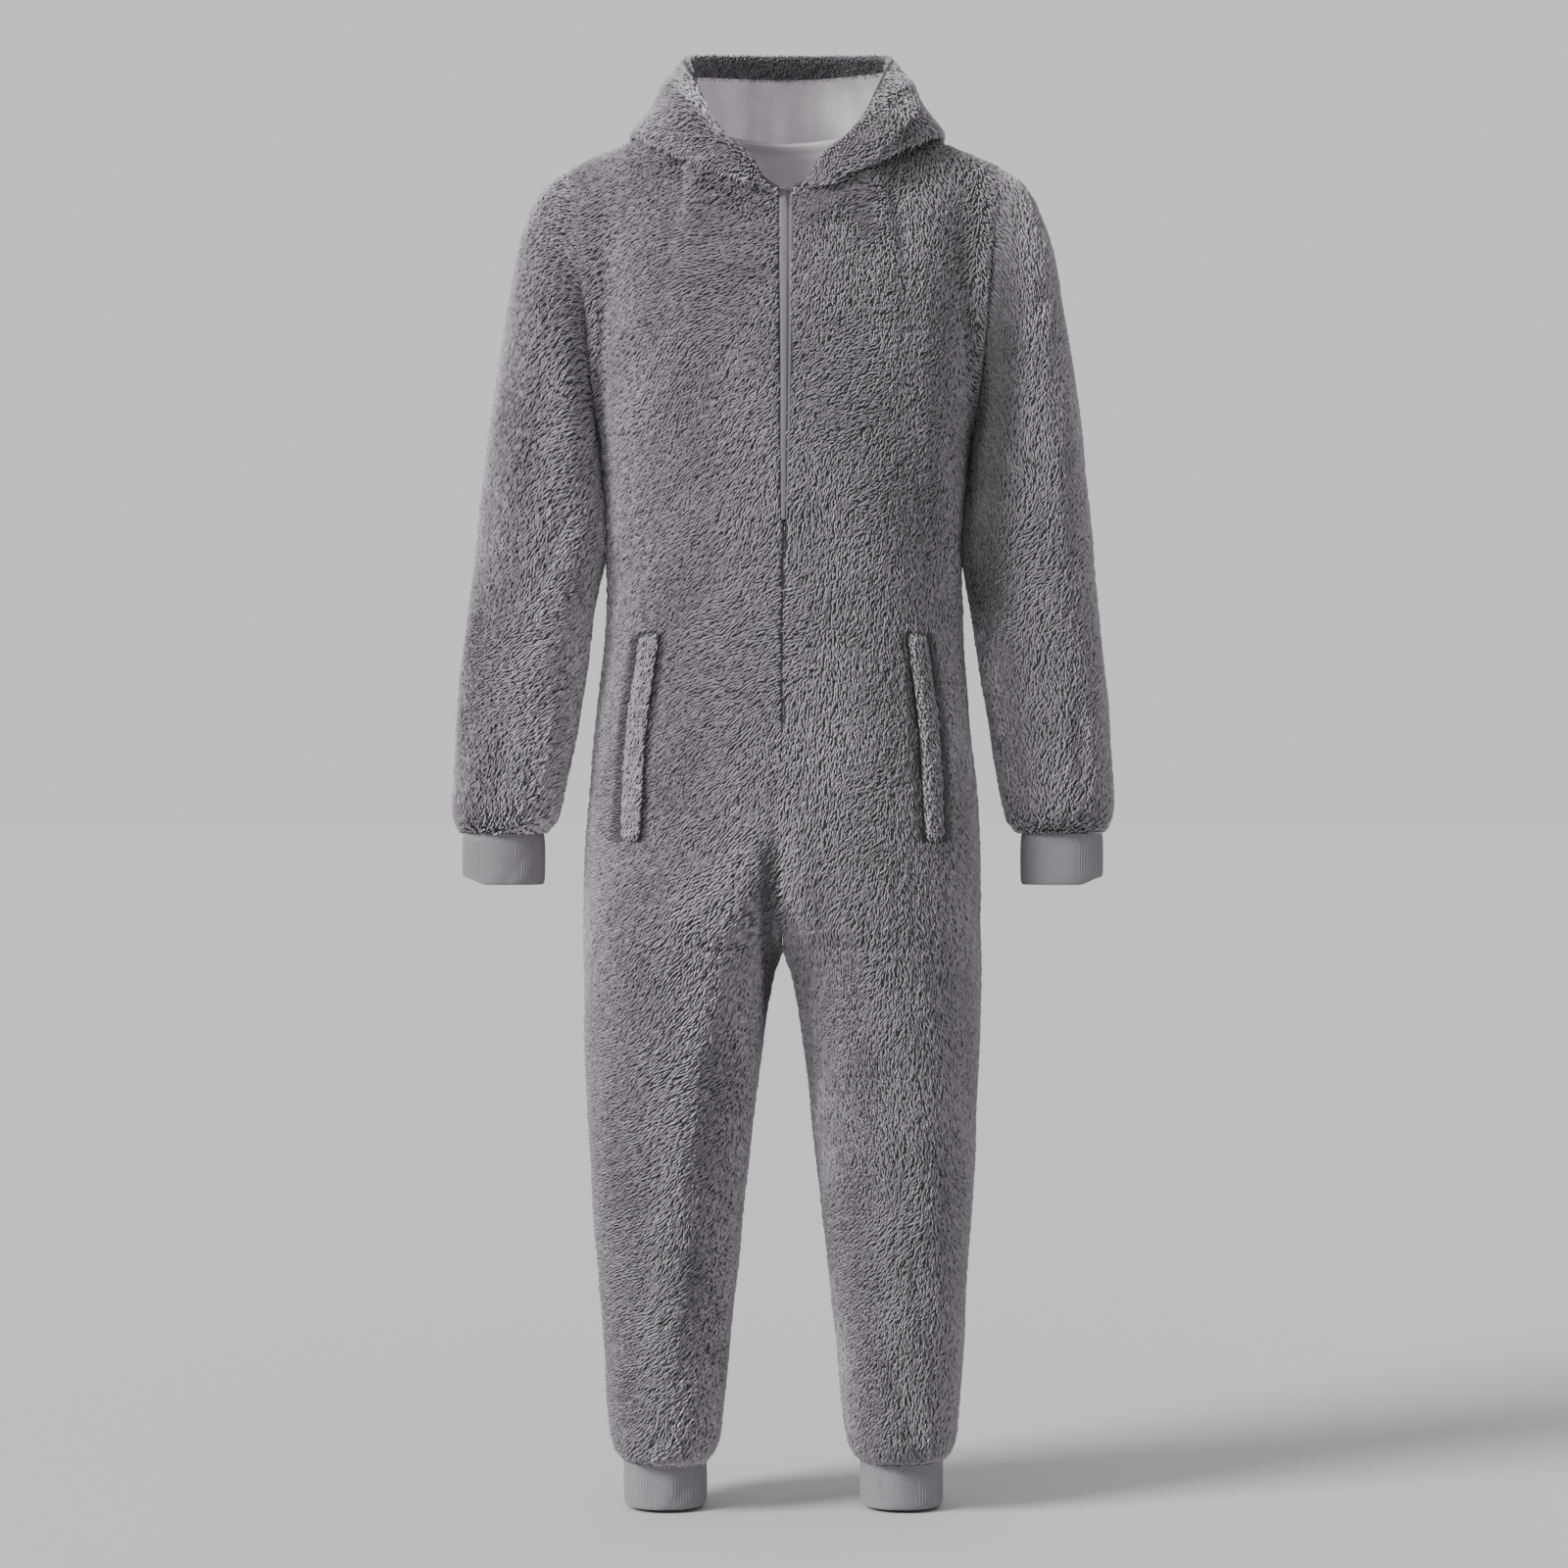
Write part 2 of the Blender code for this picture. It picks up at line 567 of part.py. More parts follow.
def signed_volume(points, faces):
    """Six times the volume that the faces enclose, below 0 where they face inwards."""
    quads = points[np.array(faces)]
    a, b, c, d = (quads[:, k] for k in range(4))
    return (np.cross(b - a, c - a) * a).sum() + (np.cross(c - a, d - a) * a).sum()


# ---------------------------------------------------------------- the pieces


def panel_rows():
    """The rows of a panel's grid, from the ankle seam at -1 to the top edge at 1."""
    low = table_rows(BODY, "z")[::-1]
    low = (low - CHEST_Z) / (CHEST_Z - BODY["z"].min())
    return np.concatenate([low[:-1], np.linspace(0, 1, CHEST_ROWS + 1)])


def add_panel(name, side, face):
    """A front or back, from the shoulder to the ankle on one side of the body."""
    shares, rows = np.linspace(0, 1, PANEL_COLUMNS + 1), panel_rows()
    u, v = np.meshgrid(shares, rows, indexing="ij")
    inward = body_inward(face, shares, rows)
    plain = body_point(face, u, v)
    outer = plain - fold_height(side, face, plain)[..., None] * inward
    outer = parted(outer, closed=False)
    add_wall(name, outer, outer + FLEECE * inward, side, FLEECE_GREY)


def add_sleeve(name, side):
    """A sleeve, as a tube from the armhole to the wrist seam."""
    turns = np.arange(2 * CHEST_ROWS) / (2 * CHEST_ROWS)
    along = table_rows(SLEEVE, "ring") / SLEEVE["ring"].max()
    u, v = np.meshgrid(turns, along, indexing="ij")
    inward = -sleeve_normal(u, v)
    rises = np.abs(1 - 2 * turns)
    for face, on in ((-1, turns <= 0.5), (1, turns > 0.5)):
        body = body_normal(face, np.ones(on.sum()), rises[on])
        inward[on, 0] = -shared(-inward[on, 0], body)
    inward[0, 0] = body_inward(-1, np.array([0.9, 1.0]), np.array([0.9, 1.0]))[-1, -1]
    outer = parted(sleeve_point(u, v), closed=True)
    add_wall(name, outer, outer + FLEECE * inward, side, FLEECE_GREY, closed=True)


def add_cuff(name, side, seam, length):
    """A rib-knit tube that hangs from a ring of seam points and turns in at its lower edge."""
    middle = seam.mean(axis=0)
    shares = CUFF["share"]
    across = unit((seam - middle) * (1, 1, 0))
    rows = [
        seam + swell * across - np.array((0.0, 0.0, share * length))
        for share, swell in zip(shares, CUFF["swell"])
    ]
    outer = parted(np.stack(rows, axis=1), closed=True)
    add_wall(name, outer, outer - RIB * across[:, None], side, RIB_GREY, closed=True)


def ankle_seam():
    """The points of the ankle seam, along the front and back along the back."""
    shares = np.linspace(0, 1, PANEL_COLUMNS + 1)
    front = body_point(-1, shares, -1.0)
    back = body_point(1, shares[::-1], -1.0)
    return np.concatenate([front[:-1], back[:-1]])


def wrist_seam():
    """The points of the wrist seam."""
    return sleeve_point(np.arange(2 * CHEST_ROWS) / (2 * CHEST_ROWS), 1.0)


def hood_grid(first_column, first_row, last_row):
    """Outer points of half the hood and their inward directions, from one of its rows to another."""
    rises = np.append(np.linspace(0, FACING_RISE, HOOD_ROWS + 1), 1.0)[first_row : last_row + 1]
    shares = np.linspace(0, 1, HOOD_COLUMNS + 1)[first_column:]
    u, v = np.meshgrid(shares, rises, indexing="ij")
    outer, out = hood_point(u, v), hood_normal(u, v)
    if first_column == 0:
        outer[0, :, 0] = curve(ZIP, "z", "half", outer[0, :, 2])
        out[0] = unit(out[0] * (0, 1, 1))
    outer[-1, :, 0] = 0.0
    out[-1] = unit(out[-1] * (0, 1, 1))
    return parted(outer, closed=False), -out


def add_hood_half(name, side):
    """Half of the hood's fleece, from the neck seam to the rim."""
    outer, inward = hood_grid(0, 0, HOOD_ROWS + 1)
    add_wall(name, outer, outer + FLEECE * inward, side, FLEECE_GREY)


def add_hood_lining(name, side):
    """The smooth inside of the hood's standing part, up to the facing."""
    outer, inward = hood_grid(LINING_COLUMN, LINING_ROW, HOOD_ROWS)
    outer += (FLEECE + LINING_GAP) * inward
    add_wall(name, outer, outer + LINING * inward, side, LINING_GREY)


def add_hood_facing(name, side):
    """A fleece band inside the rim, which stands proud of the lining's upper edge."""
    outer, inward = hood_grid(0, HOOD_ROWS, HOOD_ROWS + 1)
    outer += (FLEECE + LINING_GAP) * inward
    add_wall(name, outer, outer + FACING * inward, side, FLEECE_GREY)


def add_neck_facing():
    """A smooth half-moon inside the back, below the neck seam."""
    half = np.linspace(0, NECK_SHARE, NECK_FACING_COLUMNS + 1)
    u, v = np.meshgrid(half, NECK_FACING_ROWS, indexing="ij")
    v = 1 - v * (1 - NECK_FACING_ENDS * (u / NECK_SHARE) ** 2)
    outer, inward = body_point(1, u, v), -body_normal(1, u, v)
    inward[0] = unit(inward[0] * (0, 1, 1))
    outer[0, :, 0] = 0
    outer = outer + (FLEECE + 3 * LINING_GAP) * inward
    both = [np.concatenate([(grid * (-1, 1, 1))[:0:-1], grid]) for grid in (outer, inward)]
    add_wall("neck_facing", both[0], both[0] + LINING * both[1], 1, LINING_GREY)


def add_zip():
    """The zip's tapes between the fronts, a little below the cloth's face."""
    rows = panel_rows()
    rows = rows[rows * (CHEST_Z - BODY["z"].min()) + CHEST_Z >= ZIP_END_Z]
    collar = np.array(ZIP_ON_COLLAR)
    edge = np.concatenate([body_point(-1, 0.0, rows), hood_point(0.0, collar)])
    out = np.concatenate([body_normal(-1, 0.0, rows), hood_normal(0.0, collar)])
    inward = -unit(out * (0, 1, 1))
    edge[:, 0] = curve(ZIP, "z", "half", edge[:, 2]) - 2 * SEAM_GAP
    left = edge + ZIP_RECESS * inward
    outer = np.stack([left * (-1, 1, 1), left * (0, 1, 1), left])
    add_wall("zip", outer, outer + ZIP_TAPE * inward, 1, TAPE_GREY)


def add_zip_slider():
    """The slider at the zip's top, on the inner side of the tapes."""
    bpy.ops.mesh.primitive_cube_add(size=1.0)
    slider = bpy.context.object
    slider.name = "zip_slider"
    for vertex in slider.data.vertices:
        vertex.co = np.array(vertex.co) * SLIDER_SIZE * MM
    front = body_point(-1, 0.0, SLIDER_ROW) * (0, 1, 1)
    inward = unit(-body_normal(-1, 0.0, SLIDER_ROW) * (0, 1, 1))
    place = front + (ZIP_RECESS + ZIP_TAPE + SEAM_GAP + SLIDER_SIZE[1] / 2) * inward
    slider.location = swayed(place) * MM
    slider.rotation_euler = (math.atan2(inward[2], inward[1]), 0.0, 0.0)
    bevel = slider.modifiers.new("Rounded edges", "BEVEL")
    bevel.width = SLIDER_EDGE * MM
    bevel.segments = 2
    slider.data.materials.append(material(*SLIDER_GREY))
    for holder in list(slider.users_collection):
        holder.objects.unlink(slider)
    bpy.data.collections[GARMENT].objects.link(slider)


def share_at(face, x, z):
    """The share of a panel's width at which it reaches x, at this height below the chest."""
    shares = np.linspace(0, 1, 400)
    found = section_point(face, shares, np.full_like(shares, z))[:, 0]
    return np.interp(x, found, shares)


def add_welt(name, side):
    """A pocket's welt, laid along the front from its points moved out."""
    heights = np.linspace(WELT["z"].min(), WELT["z"].max(), WELT_ROWS)
    middle = curve(WELT, "z", "x", heights)
    xs = middle + np.array((-0.5, 0.0, 0.5))[:, None] * WELT_WIDTH
    shares = np.array([[share_at(-1, x, z) for x, z in zip(line, heights)] for line in xs])
    rows = np.broadcast_to((heights - CHEST_Z) / (CHEST_Z - BODY["z"].min()), shares.shape)
    plain, out = body_point(-1, shares, rows), body_normal(-1, shares, rows)
    under = plain + (fold_height(side, -1, plain)[..., None] + WELT_LIFT) * out
    add_wall(name, under + WELT_THICKNESS * out, under, side, FLEECE_GREY)


def clear_scene():
    """An empty scene with the garment's collection in it."""
    for old in list(bpy.data.objects):
        bpy.data.objects.remove(old)
    made = bpy.data.collections.new(GARMENT)
    bpy.context.scene.collection.children.link(made)


def main():
    clear_scene()
    for side, hand in ((1, "left"), (-1, "right")):
        add_panel(f"front_{hand}", side, -1)
        add_panel(f"back_{hand}", side, 1)
        add_sleeve(f"sleeve_{hand}", side)
        add_cuff(f"cuff_wrist_{hand}", side, wrist_seam(), WRIST_CUFF_LENGTH)
        add_cuff(f"cuff_ankle_{hand}", side, ankle_seam(), ANKLE_CUFF_LENGTH)
        add_hood_half(f"hood_{hand}", side)
        add_hood_lining(f"hood_lining_{hand}", side)
        add_hood_facing(f"hood_facing_{hand}", side)
        add_welt(f"pocket_welt_{hand}", side)
    add_neck_facing()
    add_zip()
    add_zip_slider()


main()
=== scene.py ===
"""The looks of a hooded fleece onesie, filled out as if worn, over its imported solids.

Lengths are in millimetres until a mesh is made, in metres. +X is the wearer's left, -Y the
front and +Z up. Each piece of cloth is the surface of its solid made finer: a ground with its
creases, sunk by the height of the pile, and the pile on it as combed locks.
"""

import math

import bpy
import numpy as np
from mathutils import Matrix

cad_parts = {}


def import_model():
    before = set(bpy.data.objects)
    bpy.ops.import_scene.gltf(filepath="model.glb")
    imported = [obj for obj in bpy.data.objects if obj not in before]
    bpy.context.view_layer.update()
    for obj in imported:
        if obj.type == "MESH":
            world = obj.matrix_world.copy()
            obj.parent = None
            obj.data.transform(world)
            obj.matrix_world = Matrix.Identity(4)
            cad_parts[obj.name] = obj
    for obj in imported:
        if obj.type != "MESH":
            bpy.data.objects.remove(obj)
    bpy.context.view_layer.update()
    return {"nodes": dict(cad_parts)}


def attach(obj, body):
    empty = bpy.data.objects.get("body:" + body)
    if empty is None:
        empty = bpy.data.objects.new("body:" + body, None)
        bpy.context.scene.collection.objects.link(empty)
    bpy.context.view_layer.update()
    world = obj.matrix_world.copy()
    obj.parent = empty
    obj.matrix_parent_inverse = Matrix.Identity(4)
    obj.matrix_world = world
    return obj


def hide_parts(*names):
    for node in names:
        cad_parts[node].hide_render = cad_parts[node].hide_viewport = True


MM = 0.001

# Cloth
FLEECE = 5.0
PILE = 3.0  # of the fleece's thickness, what stands above its knit ground
LINING = 1.2
RIB = 3.0
LINING_GAP = 0.6
SEAM_GAP = 0.4

# Neck, shoulder and armhole
NECK_HALF_WIDTH = 95.0
NECK_FRONT = 80.0
NECK_BACK = 72.0
NECK_FRONT_Z = -44.0
NECK_SIDE_Z = 45.0
NECK_BACK_Z = 38.0
NECK_SHARE = 0.4  # share of the top edge of a panel that is neckline
SHOULDER_TIP_X = 236.0
SHOULDER_SLOPE = 0.16
SHOULDER_ROUNDING = 0.0011
UNDERARM_LEAN = np.array((7.0, 72.0, 32.0))  # how the armhole leaves the underarm: out, forward, up

CHEST_Z = -302.0
CROTCH_Z = -860.0
ANKLE_Z = -1423.0
CHEST_SPAN = CHEST_Z - ANKLE_Z
ZIP_END_Z = -402.0
FACES = {-1: "front", 1: "back"}


def table(columns, text):
    """A table with named columns and a line for each row, as one array for each column."""
    rows = [line.split() for line in text.strip().splitlines()]
    return dict(zip(columns.split(), np.array(rows, float).T))


# Half of the body and one leg, from the chest line down to the ankle seam. inner is where the
# section would end across the body's middle: it meets the other leg's at the crotch.
BODY = table("z outer inner front back power", """
-302 205.5 -205.5 135 128 2.35
-400 198.5 -198.5 133 126 2.35
-460 196.5 -196.5 130 125 2.35
-529 199 -199 130 128 2.35
-600 206 -206 136 137 2.3
-660 211.5 -211.5 143 146 2.3
-720 216.5 -190 147 151 2.25
-770 219 -135 146 151 2.2
-810 220 -72 141 146 2.2
-835 220 -31 136 140 2.2
-850 220 -9 132 136 2.2
-860 220 0.5 130 133 2.2
-875 220 6 127 129 2.15
-905 219.5 12 121 122 2.15
-940 218.5 17.5 116 116 2.15
-1026 215.5 28.5 104 104 2.15
-1112 211.5 38.5 95 97 2.15
-1199 205.5 47.5 89 95 2.15
-1285 200 56 83 90 2.15
-1372 194 64.5 78 82 2.15
-1393 192 67.5 75 78 2.15
-1408 188.5 71.5 69 71 2.15
-1418 183 77.5 58 59 2.1
-1423 176.5 84 41 41 2.1
""")

# How the columns of a panel rise from the chest line to its top edge, by share of the panel's
# width: how far each end of the column runs straight, and the angle it arrives at.
RISE = table("share front_start front_end front_lift back_start back_end back_lift", """
0 110 90 62 200 62 42
0.2 120 84 50 200 64 36
0.4 175 76 12 205 72 10
0.7 190 76 0 200 78 0
1 80 72 0 80 76 0
""")

# Sleeve rings from the armhole to the wrist seam: the point of each on the arm's outer side,
# the one on its inner side, its depth from front to back and how far forward it hangs.
SLEEVE = table("ring outer_x outer_z inner_x inner_z depth forward", """
0 236 0 205.5 -302 108 0
1 260 -17 206.4 -305 126 1
2 277 -43 206.8 -310 136 3
3 295 -97 206.4 -322 142 8
4 309 -180 204.2 -347 140 15
5 321 -265 200.6 -390 135 21
6 332 -362 198.2 -436 130 24
7 343 -464 206 -500 124 24
8 355 -572 219.5 -595 118 22
9 361.5 -650 232 -662 112 20
10 364.5 -700 240.5 -705 106 19
11 361 -721 245.5 -722 94 18
12 355 -730 254 -730 76 18
13 350 -734 262 -734 60 18
""")

# The hood as it lies pushed back: for each share of the neck seam from the front to the back,
# the reach from the neck's middle and the height of nine stations from seam to rim.
HOOD_STATIONS = ("sole", "drop", "heel", "belly", "lip", "notch", "waist", "brow", "rim")
HOOD = table("share " + " ".join(f"{name}_r {name}_z" for name in HOOD_STATIONS), """
0 81 -42.8 81 -42.2 82 -41.6 82 -41 83 -40.4 83 -39.8 84 -39.2 84 -38.6 84 -38
0.05 83 -38 83 -37 84 -36 84 -35 85 -34 85 -33 85 -32 85 -30.5 85 -29
0.1 86 -30 91 -34 97 -38 102 -34 105 -27 103 -19 100 -12 96 -6 88 -2
0.2 95 0 104 -9 113 -21 121 -21 124 -11 121 0 117 9 110 19 96 23
0.35 104 37 122 25 141 11 153 9 157 18 154 34 146 51 127 74 98 68
0.43 112 44 132 39 153 30 166 26 170 36 159 52 149 66 134 91 106 99
0.5 118 46 139 40 158 33 170 31 173 39 160 55 148 71 137 95 112 116
0.6 112 43 136 34 158 24 172 17 178 28 168 48 156 70 140 101 118 126
0.7 104 37 126 17 150 -10 168 -18 181 0 181 32 171 68 152 105 127 136.5
0.85 100 29 120 -10 140 -72 164 -84 184 -60 190 -16 183 46 162 109 128 147.5
0.93 95 25 116 -21 134 -92 158 -104 180 -79 189 -32 185 36 164 108 127 151
1 92 24 114 -24 132 -98 156 -110 178 -86 188 -37 185 32 164 107 126 152
""")

# Soft folds of the cloth on a panel or sleeve, seen from the front or the back: a ridge where
# height is above 0, a trough where it is below.
FOLD_COLUMNS = "side face x1 z1 x2 z2 half_width height"
FOLDS = table(FOLD_COLUMNS, """
-1 -1 42 -760 80 -960 34 5
-1 -1 80 -960 107 -1095 30 5.5
-1 -1 107 -1095 140 -1330 26 4.5
-1 -1 138 -1080 158 -1280 20 -5
-1 -1 80 -1190 82 -1300 18 -3.5
1 -1 95 -980 105 -1010 24 -5
1 -1 125 -1090 140 -1130 24 -4.5
1 -1 92 -1210 104 -1250 24 -5
1 -1 112 -1310 148 -1400 16 -5
1 -1 26 -770 30 -850 20 4
-1 -1 175 -130 172 -400 36 4
1 -1 150 -120 160 -420 30 3
1 1 80 -150 120 -420 34 4
-1 1 70 -160 130 -400 30 -4
-1 1 60 -800 130 -960 30 -5
1 1 70 -810 120 -940 28 -5
1 1 90 -1090 150 -1130 24 -5
-1 1 90 -1110 160 -1140 26 -5
-1 1 90 -1300 150 -1390 18 -4
""")

# Where the two fronts part for the zip: half of its width by height.
ZIP = table("z half", f"""
-410 0.15
{ZIP_END_Z} 3
-313 5
-200 6
{NECK_FRONT_Z} 7.5
0 7.5
""")
ZIP_RECESS = 2.0
ZIP_ON_COLLAR = (0.35, 0.85)  # how far up the hood's front edge the tapes run on

# The middle line of a pocket's welt on the front, and its width.
WELT = table("z x", """
-738 162
-630 157
-518 142.5
""")
WELT_WIDTH = 20.0
WELT_THICKNESS = 4.0

WRIST_CUFF_LENGTH = 56.0
ANKLE_CUFF_LENGTH = 49.0
# How far a cuff swells past its seam, by share of its length.
CUFF = table("share swell", """
0 0
0.2 0.6
0.85 0.6
1 0.2
""")

# The garment hangs a little to one side: how far each height is moved along X.
SWAY = table("z shift", """
-1500 -2.5
-1200 -3
-900 -3.5
-500 -2.5
-200 0
0 0
60 2
160 3
""")


def curve(rows, key, name, at):
    """A column of a table as a smooth function of its key column, with no overshoot."""
    order = np.argsort(rows[key])
    xs, ys = rows[key][order], rows[name][order]
    gaps = np.diff(xs)
    slopes = np.diff(ys) / gaps
    bends = np.zeros(len(xs))
    bends[0], bends[-1] = slopes[0], slopes[-1]
    same_way = slopes[:-1] * slopes[1:] > 0
    before = np.where(same_way, slopes[:-1], 1.0)
    after = np.where(same_way, slopes[1:], 1.0)
    wide, narrow = 2 * gaps[1:] + gaps[:-1], gaps[1:] + 2 * gaps[:-1]
    bends[1:-1] = np.where(same_way, (wide + narrow) / (wide / before + narrow / after), 0.0)
    at = np.clip(at, xs[0], xs[-1])
    i = np.clip(np.searchsorted(xs, at, side="right") - 1, 0, len(xs) - 2)
    t = (at - xs[i]) / gaps[i]
    return (
        (1 + 2 * t) * (1 - t) ** 2 * ys[i]
        + t * (1 - t) ** 2 * gaps[i] * bends[i]
        + t * t * (3 - 2 * t) * ys[i + 1]
        + t * t * (t - 1) * gaps[i] * bends[i + 1]
    )


def curves(rows, at):
    """Every column of a table after its first, each as a smooth function of that one."""
    key, *names = rows
    return [curve(rows, key, name, at) for name in names]


def smoothstep(low, high, value):
    """0 up to low and 1 from high on, with no kink at either."""
    t = np.clip((value - low) / (high - low), 0.0, 1.0)
    return t * t * (3 - 2 * t)


def unit(vectors):
    return vectors / np.maximum(np.linalg.norm(vectors, axis=-1, keepdims=True), 1e-9)


def power_of(value, power):
    """A power that keeps the sign of its value."""
    return np.sign(value) * np.abs(value) ** power


def stacked(*parts):
    """Points from their coordinates, each an array or a single number."""
    return np.stack(np.broadcast_arrays(*parts), axis=-1)


# ------ the body


def section_point(face, share, z):
    """A point below the chest line; face is -1 for the front and 1 for the back."""
    outer, inner, front, back, power = curves(BODY, z)
    round_off = 2.0 / power
    middle, half = (outer + inner) / 2, (outer - inner) / 2
    parting = curve(ZIP, "z", "half", z) if face < 0 else SEAM_GAP / 2
    edge = np.clip((parting - middle) / half, -1.0, 1.0)
    first = np.arcsin(power_of(edge, 1 / round_off))
    angle = first + share * (math.pi / 2 - first)
    x = middle + half * power_of(np.sin(angle), round_off)
    y = face * (front if face < 0 else back) * np.abs(np.cos(angle)) ** round_off
    return stacked(x, y, z)


def top_edge(face, share):
    """The neckline up to NECK_SHARE of the panel's width, then the shoulder seam."""
    turn = np.clip(share / NECK_SHARE, 0, 1) * math.pi / 2
    along = np.clip((share - NECK_SHARE) / (1 - NECK_SHARE), 0, 1)
    run = along * (SHOULDER_TIP_X - NECK_HALF_WIDTH)
    parting = curve(ZIP, "z", "half", NECK_FRONT_Z) if face < 0 else SEAM_GAP / 2
    x = parting + (NECK_HALF_WIDTH - parting) * np.sin(turn) + run
    depth = NECK_FRONT if face < 0 else NECK_BACK
    middle_z = NECK_FRONT_Z if face < 0 else NECK_BACK_Z
    y = face * depth * np.cos(turn)
    z = NECK_SIDE_Z + (middle_z - NECK_SIDE_Z) * (1 - np.sin(turn) ** 1.6)
    z = z - SHOULDER_SLOPE * run - SHOULDER_ROUNDING * run**2
    return stacked(x, y, z)


def rising_point(face, share, rise):
    """A point above the chest line, at this share of the way up its column."""
    name = FACES[face]
    start = section_point(face, share, CHEST_Z)
    below = section_point(face, share, CHEST_Z - 4.0)
    straight = (start - below) / 4.0 * curve(RISE, "share", name + "_start", share)[..., None]
    armhole = smoothstep(0.7, 1.0, share)[..., None]
    lean = UNDERARM_LEAN * (1, face, 1)
    first = start + (1 - armhole) * straight + armhole * lean
    top = top_edge(face, share)
    lift = np.radians(curve(RISE, "share", name + "_lift", share))
    reach = curve(RISE, "share", name + "_end", share)
    last = top + stacked(0, face * reach * np.cos(lift), -reach * np.sin(lift))
    t = rise[..., None]
    return (
        (1 - t) ** 3 * start
        + 3 * t * (1 - t) ** 2 * first
        + 3 * t * t * (1 - t) * last
        + t**3 * top
    )


def body_point(face, share, row):
    """row is 0 at the chest line, 1 at the top edge, and -1 at the ankle seam."""
    share, row = np.broadcast_arrays(np.asarray(share, float), np.asarray(row, float))
    low = section_point(face, share, CHEST_Z + np.minimum(row, 0) * CHEST_SPAN)
    high = rising_point(face, share, np.maximum(row, 0))
    return np.where(row[..., None] > 0, high, low)


def normal_of(surface, u, v, flip=1.0, step=2e-3, u_range=(0.0, 1.0), v_range=(-1.0, 1.0)):
    """The outward direction of surface(u, v), from its slopes either side of the point."""
    u, v = np.broadcast_arrays(np.asarray(u, float), np.asarray(v, float))
    u0, u1 = np.clip(u - step, *u_range), np.clip(u + step, *u_range)
    v0, v1 = np.clip(v - step, *v_range), np.clip(v + step, *v_range)
    across = surface(u1, v) - surface(u0, v)
    up = surface(u, v1) - surface(u, v0)
    return flip * unit(np.cross(across, up))


def body_normal(face, share, row):
    """The outward direction of a panel."""
    return normal_of(lambda u, v: body_point(face, u, v), share, row, flip=-face)


def shared(own, other):
    """The direction that two walls share at a seam; where they fold flat each keeps its own."""
    blend = smoothstep(-0.6, 0.0, (own * other).sum(-1))[..., None]
    return unit(own + blend * other)


def panel_out(face, shares, rows):
    """A panel's outward directions on a grid, agreed with what is sewn to each edge."""
    u, v = np.meshgrid(shares, rows, indexing="ij")
    out = body_normal(face, u, v)
    mirrored = out[0] * (-1, 1, 1)
    other_face = body_normal(-face, u, v)
    sleeve = sleeve_normal(armhole_turn(face, rows), 0.0)
    legs = v[0] * CHEST_SPAN + CHEST_Z < CROTCH_Z
    middle = np.where(legs[:, None], other_face[0], mirrored)
    edge = np.where((rows > 0)[:, None], sleeve, other_face[-1])
    first, last = shared(out[0], middle), shared(out[-1], edge)
    shoulder = shared(out[:, -1], other_face[:, -1])
    on_shoulder = (np.asarray(shares) >= NECK_SHARE - 1e-6)[:, None]
    out[:, -1] = np.where(on_shoulder, shoulder, out[:, -1])
    tip = unit(out[-1, -1] + sleeve[-1])
    out[0], out[-1] = first, last
    out[-1, -1] = tip
    return out


# ------ the sleeves


def armhole_turn(face, rows):
    """Where a row of a panel meets the sleeve's rings: 0 at the shoulder, half at the underarm."""
    half = (1 - np.maximum(rows, 0)) / 2
    return half if face < 0 else (1 - half) % 1.0


def armhole_point(turn):
    """A point of the armhole, from the shoulder down the front and up the back."""
    rise = np.abs(1 - 2 * turn)
    ones = np.ones_like(rise)
    front, back = rising_point(-1, ones, rise), rising_point(1, ones, rise)
    return np.where(turn[..., None] <= 0.5, front, back)


def ring_point(turn, along):
    """A point of the sleeve's plain rings; along is 0 at the armhole and 1 at the wrist seam."""
    ring = along * SLEEVE["ring"].max()
    outer_x, outer_z, inner_x, inner_z, depth, forward = curves(SLEEVE, ring)
    outer, inner = stacked(outer_x, 0, outer_z), stacked(inner_x, 0, inner_z)
    angle = 2 * math.pi * turn
    middle, half = (outer + inner) / 2, (outer - inner) / 2
    deep = depth / 2 * power_of(np.sin(angle), 0.92)
    across = power_of(np.cos(angle), 0.92)[..., None] * half
    return middle + across + stacked(0, -forward - deep, 0)


def sleeve_point(turn, along):
    """The plain rings, drawn to the armhole's own curve at their upper end."""
    turn, along = np.broadcast_arrays(np.asarray(turn, float) % 1.0, np.asarray(along, float))
    fade = (1 - smoothstep(0.0, 0.4, along))[..., None]
    drawn = armhole_point(turn) - ring_point(turn, 0 * along)
    return ring_point(turn, along) + fade * drawn


def sleeve_normal(turn, along):
    """The outward direction of a sleeve."""
    return normal_of(sleeve_point, turn, along, u_range=(-9.0, 9.0), v_range=(0.0, 1.0))


# ------ the hood


def hood_seam(share):
    """The neck seam from the front (0) round to the back (1) of the wearer's left side."""
    front = top_edge(-1, 2 * NECK_SHARE * np.minimum(share, 0.5))
    back = top_edge(1, 2 * NECK_SHARE * np.minimum(1 - share, 0.5))
    return np.where(np.asarray(share)[..., None] <= 0.5, front, back)


def hood_point(share, rise):
    """A point of the hood's outer side; rise is 0 at the neck seam and 1 at the rim."""
    share, rise = np.broadcast_arrays(np.asarray(share, float), np.asarray(rise, float))
    seam = hood_seam(share)
    way = seam * (1, 1, 0)
    reach = np.linalg.norm(way, axis=-1)
    stations = curves(HOOD, share)
    place = rise * len(HOOD_STATIONS)
    r = spline([reach, *stations[::2]], place)
    z = spline([seam[..., 2] + SEAM_GAP, *stations[1::2]], place)
    return way / reach[..., None] * r[..., None] + stacked(0, 0, z)


